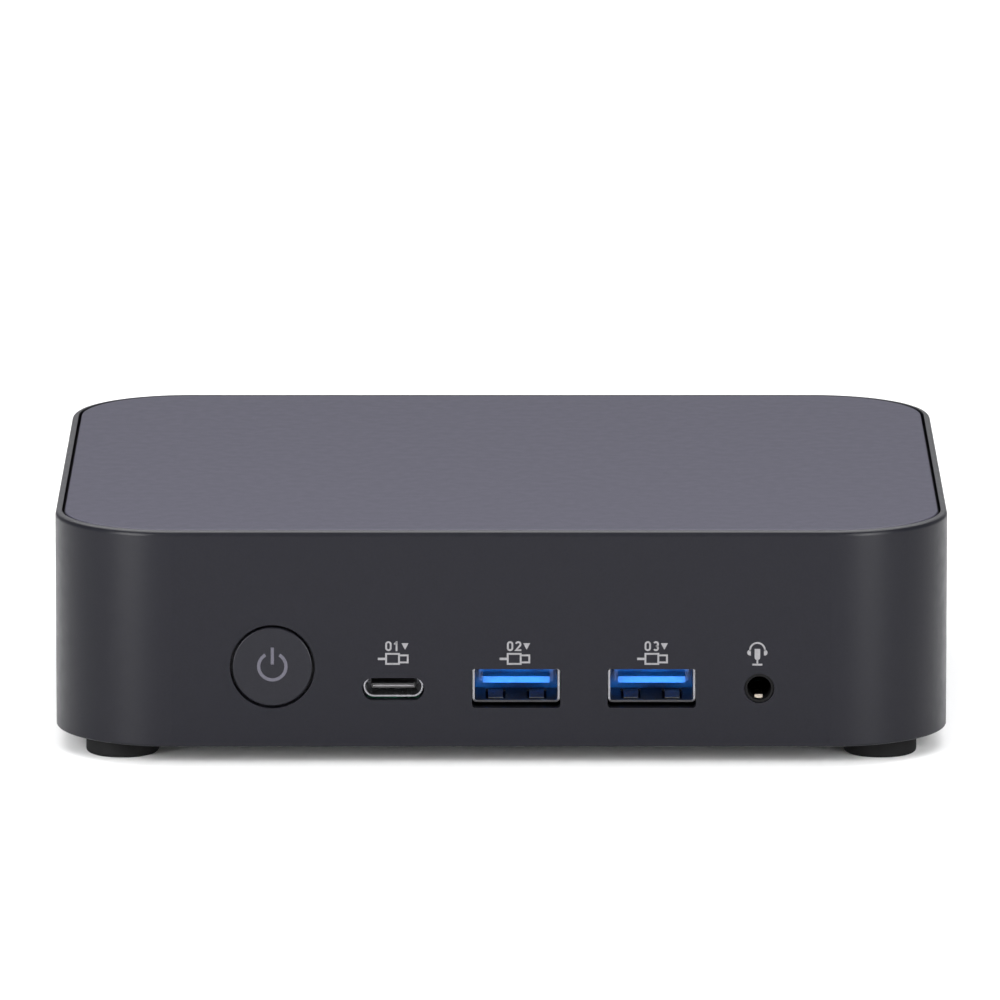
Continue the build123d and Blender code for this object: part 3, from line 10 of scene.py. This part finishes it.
import bmesh
import bpy
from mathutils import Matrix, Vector


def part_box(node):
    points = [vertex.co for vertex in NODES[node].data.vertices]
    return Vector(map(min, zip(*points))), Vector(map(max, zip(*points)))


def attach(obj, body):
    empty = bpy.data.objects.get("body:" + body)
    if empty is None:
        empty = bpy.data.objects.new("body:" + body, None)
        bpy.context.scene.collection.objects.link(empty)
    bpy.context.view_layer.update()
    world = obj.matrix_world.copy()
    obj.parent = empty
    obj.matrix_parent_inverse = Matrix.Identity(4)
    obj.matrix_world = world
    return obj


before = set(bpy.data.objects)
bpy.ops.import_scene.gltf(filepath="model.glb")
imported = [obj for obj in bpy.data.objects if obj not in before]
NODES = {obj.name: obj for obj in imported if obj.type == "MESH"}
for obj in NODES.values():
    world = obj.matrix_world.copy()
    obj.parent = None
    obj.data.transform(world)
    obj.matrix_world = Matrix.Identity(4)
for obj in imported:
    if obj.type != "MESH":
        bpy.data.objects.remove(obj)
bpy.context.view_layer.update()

MM = 0.001
SCENE = bpy.context.scene

SHELL_LOW, SHELL_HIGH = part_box("chassis_shell")
FRONT_Y, REAR_Y = SHELL_LOW.y, SHELL_HIGH.y


# ---------------------------------------------------------------- material building blocks


COAT_ROUGHNESS = 0.12
# nearly all of a noise texture's values lie between these
NOISE_LOW, NOISE_HIGH = 0.3, 0.7


class Shader:
    """A Principled material whose procedural inputs are added one by one."""

    def __init__(self, name, colour, roughness, metallic=0.0, specular=0.5, coat=0.0):
        self.material = bpy.data.materials.new(name)
        self.material.use_nodes = True
        self.tree = self.material.node_tree
        self.surface = self.tree.nodes["Principled BSDF"]
        self.colour = colour
        self.set("Base Color", (*colour, 1.0))
        self.set("Roughness", roughness)
        self.set("Metallic", metallic)
        self.set("Specular IOR Level", specular)
        self.set("Coat Weight", coat)
        self.set("Coat Roughness", COAT_ROUGHNESS)
        self.place = self.add("ShaderNodeTexCoord").outputs["Object"]

    def set(self, socket, value):
        self.surface.inputs[socket].default_value = value

    def add(self, kind, **settings):
        node = self.tree.nodes.new(kind)
        for key, value in settings.items():
            setattr(node, key, value)
        return node

    def join(self, source, target):
        self.tree.links.new(source, target)

    def noise(self, size, detail=2.0, stretch=(1.0, 1.0, 1.0)):
        """Noise whose features are about this size in metres, drawn out along an axis if asked."""
        mapping = self.add("ShaderNodeMapping")
        mapping.inputs["Scale"].default_value = stretch
        self.join(self.place, mapping.inputs["Vector"])
        texture = self.add("ShaderNodeTexNoise")
        texture.inputs["Scale"].default_value = 1.0 / size
        texture.inputs["Detail"].default_value = detail
        self.join(mapping.outputs["Vector"], texture.inputs["Vector"])
        return texture.outputs["Fac"]

    def spread(self, value, low, high):
        """A noise texture's value turned into the range low to high."""
        span = self.add("ShaderNodeMapRange")
        span.inputs["From Min"].default_value = NOISE_LOW
        span.inputs["From Max"].default_value = NOISE_HIGH
        span.inputs["To Min"].default_value = low
        span.inputs["To Max"].default_value = high
        self.join(value, span.inputs["Value"])
        return span.outputs["Result"]

    def mottle(self, size, amount, detail=2.0, stretch=(1.0, 1.0, 1.0)):
        """Varies the colour up and down by this share of itself."""
        mix = self.add("ShaderNodeMix", data_type="RGBA")
        mix.inputs["A"].default_value = (*(c * (1 - amount) for c in self.colour), 1.0)
        mix.inputs["B"].default_value = (*(c * (1 + amount) for c in self.colour), 1.0)
        self.join(self.spread(self.noise(size, detail, stretch), 0.0, 1.0), mix.inputs["Factor"])
        self.join(mix.outputs["Result"], self.surface.inputs["Base Color"])
        return self

    def blend_up(self, colour, start, end):
        """Passes into another colour between these two heights above the table."""
        height = self.add("ShaderNodeSeparateXYZ")
        self.join(self.place, height.inputs["Vector"])
        share = self.add("ShaderNodeMapRange")
        share.inputs["From Min"].default_value = start
        share.inputs["From Max"].default_value = end
        self.join(height.outputs["Z"], share.inputs["Value"])
        mix = self.add("ShaderNodeMix", data_type="RGBA")
        self.join(share.outputs["Result"], mix.inputs["Factor"])
        self.join(self.surface.inputs["Base Color"].links[0].from_socket, mix.inputs["A"])
        mix.inputs["B"].default_value = (*colour, 1.0)
        self.join(mix.outputs["Result"], self.surface.inputs["Base Color"])
        return self

    def uneven(self, size, low, high, stretch=(1.0, 1.0, 1.0)):
        """Varies the roughness between two values."""
        self.join(self.spread(self.noise(size, 2.0, stretch), low, high), self.surface.inputs["Roughness"])
        return self

    def grain(self, size, depth, strength=1.0, detail=2.0, stretch=(1.0, 1.0, 1.0)):
        """Raises the surface by noise of this size and depth in metres."""
        bump = self.add("ShaderNodeBump")
        bump.inputs["Strength"].default_value = strength
        bump.inputs["Distance"].default_value = depth
        self.join(self.noise(size, detail, stretch), bump.inputs["Height"])
        self.join(bump.outputs["Normal"], self.surface.inputs["Normal"])
        return self


# the sizes of the paint's specks, of its duller and shinier patches, and of its grain
PAINT_SPECK, PAINT_CLOUD = 0.35 * MM, 2.0 * MM
PAINT_GRAIN, PAINT_GRAIN_DEPTH = 0.3 * MM, 0.01 * MM
ROUGHNESS_SWING = 0.03
# a painted highlight: the colour the shell's paint passes into on the narrow rim round the lid, between
# these two heights
RIM_HIGHLIGHT_COLOUR = (0.055, 0.055, 0.058)
RIM_HIGHLIGHT_START, RIM_HIGHLIGHT_END = SHELL_HIGH.z - 0.3 * MM, SHELL_HIGH.z - 0.06 * MM


def sandy_shader(name, colour, roughness, specular):
    """The case's finish: dark and satin, with a sandy grain."""
    shader = Shader(name, colour, roughness, specular=specular)
    shader.mottle(PAINT_SPECK, 0.1)
    shader.uneven(PAINT_CLOUD, roughness - ROUGHNESS_SWING, roughness + ROUGHNESS_SWING)
    return shader.grain(PAINT_GRAIN, PAINT_GRAIN_DEPTH, 0.5)


def textured_paint(name, colour, roughness, specular):
    return sandy_shader(name, colour, roughness, specular).material


def case_paint(name, colour, roughness, specular):
    """The shell's paint, lightened on the narrow rim round the lid by a painted highlight."""
    shader = sandy_shader(name, colour, roughness, specular)
    return shader.blend_up(RIM_HIGHLIGHT_COLOUR, RIM_HIGHLIGHT_START, RIM_HIGHLIGHT_END).material


def moulded(name, colour, roughness=0.45, grain=0.2 * MM, coat=0.0, specular=0.5):
    """Plain moulded plastic or rubber."""
    shader = Shader(name, colour, roughness, specular=specular, coat=coat)
    swing = 2 * ROUGHNESS_SWING
    shader.mottle(6 * grain, 0.1).uneven(20 * grain, roughness - swing, roughness + swing)
    return shader.grain(grain, 0.1 * grain, 0.5).material


SCRATCH, SCRATCH_DEPTH, METAL_CLOUD = 0.15 * MM, 0.01 * MM, 2.0 * MM


def brushed(shader, smooth, rough, stretch=(1.0, 1.0, 1.0)):
    """Fine scratches, drawn out along the axis that stretch leaves at less than 1."""
    shader.uneven(SCRATCH, smooth, rough, stretch=stretch)
    return shader.grain(SCRATCH, SCRATCH_DEPTH, 0.35, stretch=stretch).material


def metal(name, colour, roughness=0.3, stretch=(1.0, 1.0, 1.0)):
    """Bare or plated metal."""
    shader = Shader(name, colour, roughness, metallic=1.0)
    shader.mottle(METAL_CLOUD, 0.08, stretch=stretch)
    return brushed(shader, roughness - 0.08, roughness + 0.1, stretch)


TIN_COLOUR, TIN_ROUGHNESS = (0.27, 0.27, 0.285), 0.32
# the share of the tin's brightness left on the lower lip by painted shade, and the heights above it where
# the painted shade fades out
LIP_SHADE, LIP_START, LIP_END = 0.18, 0.25 * MM, 0.6 * MM
LIP_SMOOTH, LIP_ROUGH = 0.26, 0.42


def shaded_lip_tin(name, node):
    """Tin plate like the other sockets', its lower lip darkened with painted shade."""
    lip_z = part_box(node)[0].z
    shaded_lip_colour = tuple(LIP_SHADE * c for c in TIN_COLOUR)
    shader = Shader(name, shaded_lip_colour, TIN_ROUGHNESS, metallic=1.0)
    shader.mottle(METAL_CLOUD, 0.08).blend_up(TIN_COLOUR, lip_z + LIP_START, lip_z + LIP_END)
    return brushed(shader, LIP_SMOOTH, LIP_ROUGH)


# the unit of the brick pattern, and a track's width as a share of it
BRICK_UNIT, TRACK_WIDTH = 3.0 * MM, 0.06


def circuit_board(name, colour):
    """Solder mask over copper: blocks of slightly different green with fine tracks."""
    shader = Shader(name, colour, 0.35, specular=0.5, coat=0.3)
    tracks = shader.add("ShaderNodeTexBrick")
    tracks.inputs["Scale"].default_value = 1.0 / BRICK_UNIT
    tracks.inputs["Mortar Size"].default_value = TRACK_WIDTH
    tracks.inputs["Color1"].default_value = (*colour, 1.0)
    tracks.inputs["Color2"].default_value = (*(1.25 * c for c in colour), 1.0)
    tracks.inputs["Mortar"].default_value = (*(2.2 * c for c in colour), 1.0)
    shader.join(shader.place, tracks.inputs["Vector"])
    shader.join(tracks.outputs["Color"], shader.surface.inputs["Base Color"])
    shader.grain(0.4 * MM, 0.01 * MM, 0.4)
    return shader.material


# ---------------------------------------------------------------- the finishes

MATERIALS = {
    "shell": case_paint("shell_paint", (0.0058, 0.0058, 0.0083), 0.34, 0.14),
    "lid": textured_paint("lid_paint", (0.0405, 0.0385, 0.059), 0.45, 0.4),
    "button": textured_paint("button_paint", (0.0066, 0.0066, 0.0092), 0.4, 0.17),
    "cover": textured_paint("cover_paint", (0.014, 0.014, 0.016), 0.5, 0.3),
    "rubber": moulded("rubber", (0.004, 0.004, 0.0043), 0.8, 0.3 * MM, specular=0.15),
    "black": moulded("black_plastic", (0.008, 0.008, 0.009), 0.4),
    "matt_black": moulded("matt_black", (0.003, 0.003, 0.0033), 0.6, specular=0.1),
    "lens": moulded("frosted_lens", (0.044, 0.042, 0.057), 0.5, 0.1 * MM),
    "blue": moulded("blue_plastic", (0.004, 0.15, 0.62), 0.35, 0.15 * MM, coat=0.1),
    "print": moulded("printed_ink", (0.135, 0.132, 0.138), 0.6, 0.1 * MM),
    "green_lamp": moulded("green_lamp", (0.05, 0.30, 0.06), 0.2, 0.1 * MM, coat=0.5),
    "amber_lamp": moulded("amber_lamp", (0.45, 0.20, 0.02), 0.2, 0.1 * MM, coat=0.5),
    "tin": metal("tin_plate", TIN_COLOUR, TIN_ROUGHNESS, stretch=(1.0, 0.15, 1.0)),
    "shaded_lip_tin": shaded_lip_tin("shaded_lip_tin", "usb_a_left_shell"),
    "worn_gold": metal("worn_gold", (0.95, 0.84, 0.70), 0.35),
    "bright_steel": metal("bright_steel", (0.21, 0.205, 0.21), 0.4),
    "gold": metal("gold_plate", (0.86, 0.62, 0.30), 0.22),
    "brass": metal("brass", (0.80, 0.58, 0.25), 0.3),
    "screw": metal("black_zinc", (0.10, 0.10, 0.11), 0.35),
    "steel": metal("stamped_steel", (0.50, 0.50, 0.51), 0.3, stretch=(0.1, 1.0, 1.0)),
    "aluminium": metal("aluminium", (0.72, 0.72, 0.74), 0.3, stretch=(1.0, 0.1, 1.0)),
    "copper": metal("copper", (0.75, 0.36, 0.22), 0.3, stretch=(0.1, 1.0, 1.0)),
    "ferrite": moulded("ferrite", (0.03, 0.03, 0.032), 0.6, 0.4 * MM),
    "chip": moulded("chip_epoxy", (0.012, 0.012, 0.013), 0.5, 0.25 * MM),
    "silicon": moulded("silicon", (0.09, 0.10, 0.13), 0.12, 0.5 * MM, coat=0.5),
    "board": circuit_board("solder_mask", (0.006, 0.05, 0.028)),
}

FINISH_OF = {
    "shell": ["chassis_shell"],
    "lid": ["top_lid"],
    "button": ["power_button"],
    "cover": ["bottom_cover"],
    "rubber": ["rubber_feet", "antenna_leads", "fan_lead"],
    "black": [
        "rear_io_panel",
        "button_guide",
        "power_switch",
        "usb_c_front_tongue",
        "dc_jack_body",
        "video_port_1_tongue",
        "video_port_2_tongue",
        "lan_jack_insert",
        "coin_cell_holder",
        "memory_socket",
        "ssd_socket",
        "antennas",
        "fan_housing",
        "fan_impeller",
    ],
    "matt_black": ["headset_jack_body"],
    "lens": ["power_lens"],
    "blue": ["usb_a_left_tongue", "usb_a_right_tongue", "usb_stack_tongues", "switch_plunger"],
    "tin": [
        "usb_c_front_shell",
        "usb_stack_shell",
        "video_port_1_shell",
        "video_port_2_shell",
        "lan_jack_shell",
        "dc_jack_pin",
    ],
    "shaded_lip_tin": ["usb_a_left_shell", "usb_a_right_shell"],
    "gold": ["usb_a_contacts", "lan_jack_contacts"],
    "worn_gold": ["headset_jack_contacts"],
    "brass": ["bracket_inserts"],
    "screw": ["cover_screws", "board_screws", "block_screws"],
    "steel": ["coin_cell", "ssd_screw", "fan_cover", "fan_shaft"],
    "aluminium": ["fin_stack", "board_capacitors"],
    "copper": ["heat_block", "heat_pipe", "fan_stator"],
    "ferrite": ["board_inductors", "fan_magnet"],
    "chip": ["board_chips"],
    "silicon": ["cpu_die"],
    "board": ["main_board", "cpu_package", "memory_module", "ssd_card", "wifi_card"],
}

for finish_name, node_names in FINISH_OF.items():
    for node_name in node_names:
        slots = NODES[node_name].data.materials
        slots.clear()
        slots.append(MATERIALS[finish_name])

# ---------------------------------------------------------------- printed marks

INK_THICKNESS = 0.02 * MM
# the sizes inside a mark are in mm
PEN_WIDTH = 0.26


def arc(centre, radius, start, end, steps=14):
    """Points along an arc, its angles in degrees from +X towards +Z."""
    angles = [math.radians(start + (end - start) * i / steps) for i in range(steps + 1)]
    return [(centre[0] + radius * math.cos(a), centre[1] + radius * math.sin(a)) for a in angles]


def stroke_outline(points, width):
    """The outline of a pen stroke of this width along the points, with mitred corners."""
    left, right = [], []
    for i, point in enumerate(points):
        here = Vector(point)
        back = (here - Vector(points[i - 1])).normalized() if i else None
        ahead = (Vector(points[i + 1]) - here).normalized() if i + 1 < len(points) else None
        along = ((back or ahead) + (ahead or back)).normalized()
        reach = width / 2 / max(along.dot(ahead or back), 0.5)
        side = Vector((-along.y, along.x)) * reach
        left.append(here + side)
        right.append(here - side)
    return left + right[::-1]


def new_piece(name, mesh, finish):
    """A piece of the case's own, made here and not in the CAD."""
    piece = bpy.data.objects.new(name, mesh)
    SCENE.collection.objects.link(piece)
    mesh.materials.append(MATERIALS[finish])
    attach(piece, "case")
    return piece


def printed(name, outlines, origin):
    """Flat ink on the case's front or rear: each outline, in mm from origin, is one thin solid.

    Outlines read from left to right as seen from outside the face that origin lies on.
    """
    facing = -1 if origin.y < 0 else 1
    mesh = bpy.data.meshes.new(name)
    ink = bmesh.new()
    for outline in outlines:
        corners = [origin + Vector((-facing * x * MM, 0, z * MM)) for x, z in outline]
        face = ink.faces.new([ink.verts.new(corner) for corner in corners])
        grown = bmesh.ops.extrude_face_region(ink, geom=[face])
        raised = [v for v in grown["geom"] if isinstance(v, bmesh.types.BMVert)]
        bmesh.ops.translate(ink, verts=raised, vec=(0, facing * INK_THICKNESS, 0))
    bmesh.ops.recalc_face_normals(ink, faces=ink.faces)
    ink.to_mesh(mesh)
    ink.free()
    return new_piece(name, mesh, "print")


def box_outline(x0, z0, x1, z1):
    return [(x0, z0), (x1, z0), (x1, z1), (x0, z1)]


def above(node, height, aside=0.0):
    """The point on the face the node opens in, this far (mm) above the table and to the right."""
    low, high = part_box(node)
    face_y = FRONT_Y if low.y < 0 else REAR_Y
    return Vector(((low.x + high.x) / 2 + aside * MM, face_y, height * MM))


NUMERAL_HEIGHT, NUMERAL_WIDTH, NUMERAL_STROKE, NUMERAL_GAP = 1.5, 0.95, 0.27, 0.27
NUMERAL_ROW = 2.1
ARROW_WIDTH, ARROW_LOW, ARROW_HIGH = 1.05, 0.2, 1.2


def numeral(digit):
    """The pen strokes of a digit in a box NUMERAL_WIDTH by NUMERAL_HEIGHT, its corner at 0, 0."""
    low, high = NUMERAL_STROKE / 2, NUMERAL_HEIGHT - NUMERAL_STROKE / 2
    left, right = NUMERAL_STROKE / 2, NUMERAL_WIDTH - NUMERAL_STROKE / 2
    middle, half = NUMERAL_WIDTH / 2, (right - left) / 2
    bowl = (high - low) / 4
    if digit == 0:
        upper = arc((middle, high - half), half, 0, 180)
        lower = arc((middle, low + half), half, 180, 360)
        return [[*upper, *lower, upper[0]]]
    if digit == 1:
        return [[(left, high - half), (middle, high)], [(middle, NUMERAL_HEIGHT), (middle, 0)]]
    if digit == 2:
        return [[*arc((middle, high - half), half, 165, -35), (left, low), (NUMERAL_WIDTH, low)]]
    return [arc((middle, high - bowl), bowl, 150, -90), arc((middle, low + bowl), bowl, 90, -150)]


def arrow():
    """A solid arrow down towards the socket, its right corner at x = 0."""
    top, tip = NUMERAL_ROW + ARROW_HIGH, NUMERAL_ROW + ARROW_LOW
    return [(-ARROW_WIDTH, top), (-ARROW_WIDTH / 2, tip), (0, top)]


def plug():
    """A plug's narrow tip, its wider grip and the start of its lead, its right edge at x = 0."""
    tip = [(-1.3, 0.36), (-0.13, 0.36), (-0.13, 1.44), (-1.3, 1.44)]
    grip = [(-2.35, 0.13), (-3.37, 0.13), (-3.37, 1.67), (-1.43, 1.67), (-1.43, 0.13), (-2.4, 0.13)]
    lead = box_outline(-4.6, 0.72, -3.5, 1.08)
    return [stroke_outline(tip, NUMERAL_STROKE), stroke_outline(grip, NUMERAL_STROKE), lead]


def port_mark(digits):
    """Two rows above a socket, right-aligned at x = 0: its number with an arrow, and a plug."""
    outlines = []
    for place, digit in enumerate(digits):
        shift = (place - len(digits)) * (NUMERAL_WIDTH + NUMERAL_GAP) - ARROW_WIDTH
        for stroke in numeral(digit):
            outline = stroke_outline(stroke, NUMERAL_STROKE)
            outlines.append([(x + shift, z + NUMERAL_ROW) for x, z in outline])
    return [*outlines, arrow(), *plug()]


def headset_mark():
    """A headband with two ear pads over a microphone on a foot, centred on x = 0."""
    pad_x, pad_z, pad_radius = 1.08, 1.98, 0.45
    capsule, capsule_top, stem, foot = 0.42, 2.55, 0.13, 0.75
    outlines = [stroke_outline(arc((0, 2.35), 1.12, -5, 185), PEN_WIDTH)]
    for side in (-1, 1):
        # each pad bulges outwards from the end of the headband
        bulge = arc((pad_x, pad_z), pad_radius, -90, 90, 8)
        back = [(pad_x - 0.1, pad_z + pad_radius), (pad_x - 0.1, pad_z - pad_radius)]
        outlines.append([(side * x, z) for x, z in bulge + back])
    round_end = arc((0, 1.25), capsule, 180, 360, 8)
    outlines.append([(-capsule, capsule_top), *round_end, (capsule, capsule_top)])
    outlines.append(box_outline(-stem, 0.3, stem, 0.9))
    outlines.append(box_outline(-foot, 0.0, foot, 0.28))
    return outlines


def screen_mark():
    """A display on a foot, centred on x = 0."""
    half, low, high, stem, foot = 1.4, 0.9, 2.7, 0.13, 0.8
    # the line ends a little past its start, so that the last corner is full
    display = [(-half, low), (half, low), (half, high), (-half, high), (-half, low - 0.15)]
    stand = [box_outline(-stem, 0.3, stem, low), box_outline(-foot, 0.1, foot, 0.36)]
    return [stroke_outline(display, PEN_WIDTH), *stand]


def network_mark():
    """A box over two others, linked by lines, centred on x = 0."""
    half_box, half_line, spread = 0.45, 0.12, 1.05
    outlines = [box_outline(-half_box, 1.9, half_box, 2.7), box_outline(-half_line, 1.3, half_line, 1.9)]
    outlines.append(box_outline(-1.2, 1.15, 1.2, 1.4))
    for middle in (-spread, spread):
        outlines.append(box_outline(middle - 0.13, 0.9, middle + 0.13, 1.2))
        outlines.append(box_outline(middle - half_box, 0.2, middle + half_box, 0.95))
    return outlines


def supply_mark():
    """A solid bar over a broken one, as beside a direct-current inlet, centred on x = 0."""
    half_bar, half_dash, thickness = 1.2, 0.3, 0.25
    dashes = [box_outline(x - half_dash, 0.6, x + half_dash, 0.6 + thickness) for x in (-0.9, 0.0, 0.9)]
    return [box_outline(-half_bar, 1.2, half_bar, 1.2 + thickness), *dashes]


# the marks' heights above the table, in mm
MARK_Z, HEADSET_MARK_Z, REAR_MARK_Z, SUPPLY_MARK_Z = 15.62, 15.5, 7.1, 20.4
# each front mark's number and how far its right edge stands from the socket's middle
for node, digits, aside in (
    ("usb_c_front", (0, 1), 2.3),
    ("usb_a_left", (0, 2), 2.1),
    ("usb_a_right", (0, 3), 2.4),
):
    printed(f"mark_{node}", port_mark(digits), above(f"{node}_shell", MARK_Z, aside))
printed("mark_headset", headset_mark(), above("headset_jack_body", HEADSET_MARK_Z, -0.3))
for number in (1, 2):
    printed(f"mark_video_{number}", screen_mark(), above(f"video_port_{number}_shell", REAR_MARK_Z))
printed("mark_network", network_mark(), above("lan_jack_shell", REAR_MARK_Z))
printed("mark_supply", supply_mark(), above("dc_jack_pin", SUPPLY_MARK_Z))

# ---------------------------------------------------------------- small parts of the sockets


def bevelled_block(name, low, high, bevel, finish):
    """A block between two corners with rounded edges."""
    mesh = bpy.data.meshes.new(name)
    form = bmesh.new()
    bmesh.ops.create_cube(form, size=1.0)
    size, middle = high - low, (high + low) / 2
    for vertex in form.verts:
        vertex.co = Vector(c * s for c, s in zip(vertex.co, size)) + middle
    bmesh.ops.bevel(form, geom=form.edges[:], offset=bevel, segments=3, affect="EDGES", profile=0.5)
    for face in form.faces:
        face.smooth = True
    form.to_mesh(mesh)
    form.free()
    return new_piece(name, mesh, finish)


EDGE_REACH, HALF_EDGE, EDGE_INSET, EDGE_BEVEL = 0.12 * MM, 0.17 * MM, 0.35 * MM, 0.08 * MM


def small_tongue_edge():
    """The steel plate inside the oval socket's tongue, seen as a thin line along its front edge."""
    low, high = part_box("usb_c_front_tongue")
    middle_z = (low.z + high.z) / 2
    start = Vector((low.x + EDGE_INSET, low.y - EDGE_REACH, middle_z - HALF_EDGE))
    end = Vector((high.x - EDGE_INSET, low.y + EDGE_REACH, middle_z + HALF_EDGE))
    bevelled_block("usb_c_front_edge", start, end, EDGE_BEVEL, "bright_steel")


LAMP_SPREAD, HALF_LAMP, LAMP_LOW_Z, LAMP_HIGH_Z = 5.2 * MM, 1.4 * MM, 20.9 * MM, 22.5 * MM
LAMP_RECESS, LAMP_BACK, LAMP_BEVEL = 0.1 * MM, 0.8 * MM, 0.2 * MM


def network_lamps():
    """The two small indicator lenses above the network socket's mouth."""
    low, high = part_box("lan_jack_insert")
    middle, face_y = (low.x + high.x) / 2, high.y
    for name, finish, side in (("link_lamp", "green_lamp", -1), ("traffic_lamp", "amber_lamp", 1)):
        x = middle + side * LAMP_SPREAD
        start = Vector((x - HALF_LAMP, face_y - LAMP_BACK, LAMP_LOW_Z))
        end = Vector((x + HALF_LAMP, face_y - LAMP_RECESS, LAMP_HIGH_Z))
        bevelled_block(name, start, end, LAMP_BEVEL, finish)


small_tongue_edge()
network_lamps()

# ---------------------------------------------------------------- floor, light and camera

FLOOR_HALF = 6.0
floor_corners = [(x * FLOOR_HALF, y * FLOOR_HALF, 0) for x, y in ((-1, -1), (1, -1), (1, 1), (-1, 1))]
floor_shader = Shader("floor_paper", (0.86, 0.86, 0.86), 0.8, specular=0.2)
floor_shader.mottle(0.2, 0.01)
floor_mesh = bpy.data.meshes.new("floor")
floor_mesh.from_pydata(floor_corners, [], [(0, 1, 2, 3)])
floor_mesh.materials.append(floor_shader.material)
floor = bpy.data.objects.new("floor", floor_mesh)
SCENE.collection.objects.link(floor)

CASE_CENTRE = (SHELL_LOW + SHELL_HIGH) / 2


def softbox(name, place, width, height, watts):
    """A rectangular area light aimed at the middle of the case."""
    light = bpy.data.lights.new(name, "AREA")
    light.shape = "RECTANGLE"
    light.size, light.size_y = width, height
    light.energy = watts
    lamp = bpy.data.objects.new(name, light)
    lamp.location = place
    lamp.rotation_mode = "QUATERNION"
    lamp.rotation_quaternion = (CASE_CENTRE - Vector(place)).to_track_quat("-Z", "Y")
    SCENE.collection.objects.link(lamp)


# a wide ceiling, a weak fill from above the camera, and two narrow cards that light the corners
softbox("overhead", (0.0, 0.5, 1.5), 2.2, 1.6, 37)
softbox("front_fill", (0.0, -1.7, 1.3), 1.8, 0.8, 5)
softbox("left_card", (-0.42, -0.46, 0.2), 0.22, 0.4, 5.6)
softbox("right_card", (0.39, -0.48, 0.2), 0.22, 0.4, 5.0)

SKY_COLOUR, SKY_STRENGTH = (0.95, 0.96, 1.0, 1.0), 0.35
world = bpy.data.worlds.new("studio")
world.use_nodes = True
sky = world.node_tree.nodes["Background"]
sky.inputs["Color"].default_value = SKY_COLOUR
sky.inputs["Strength"].default_value = SKY_STRENGTH
SCENE.world = world
SCENE.view_settings.view_transform = "Standard"

# the camera's angle above the table, its distance in metres, and its lens in mm
PITCH, DISTANCE, LENS = math.radians(11.1), 1.961, 456.6
AIM_RIGHT, AIM_ABOVE_CENTRE = -0.2 * MM, 10.34 * MM
camera_data = bpy.data.cameras.new("camera")
camera_data.lens = LENS
camera_data.clip_start, camera_data.clip_end = 0.1, 50
camera = bpy.data.objects.new("camera", camera_data)
stand = CASE_CENTRE + Vector((AIM_RIGHT, 0, 0))
camera.location = stand + Vector((0, -math.cos(PITCH), math.sin(PITCH))) * DISTANCE
aim = stand + Vector((0, 0, AIM_ABOVE_CENTRE)) - camera.location
camera.rotation_mode = "QUATERNION"
camera.rotation_quaternion = aim.to_track_quat("-Z", "Y")
SCENE.collection.objects.link(camera)
SCENE.camera = camera
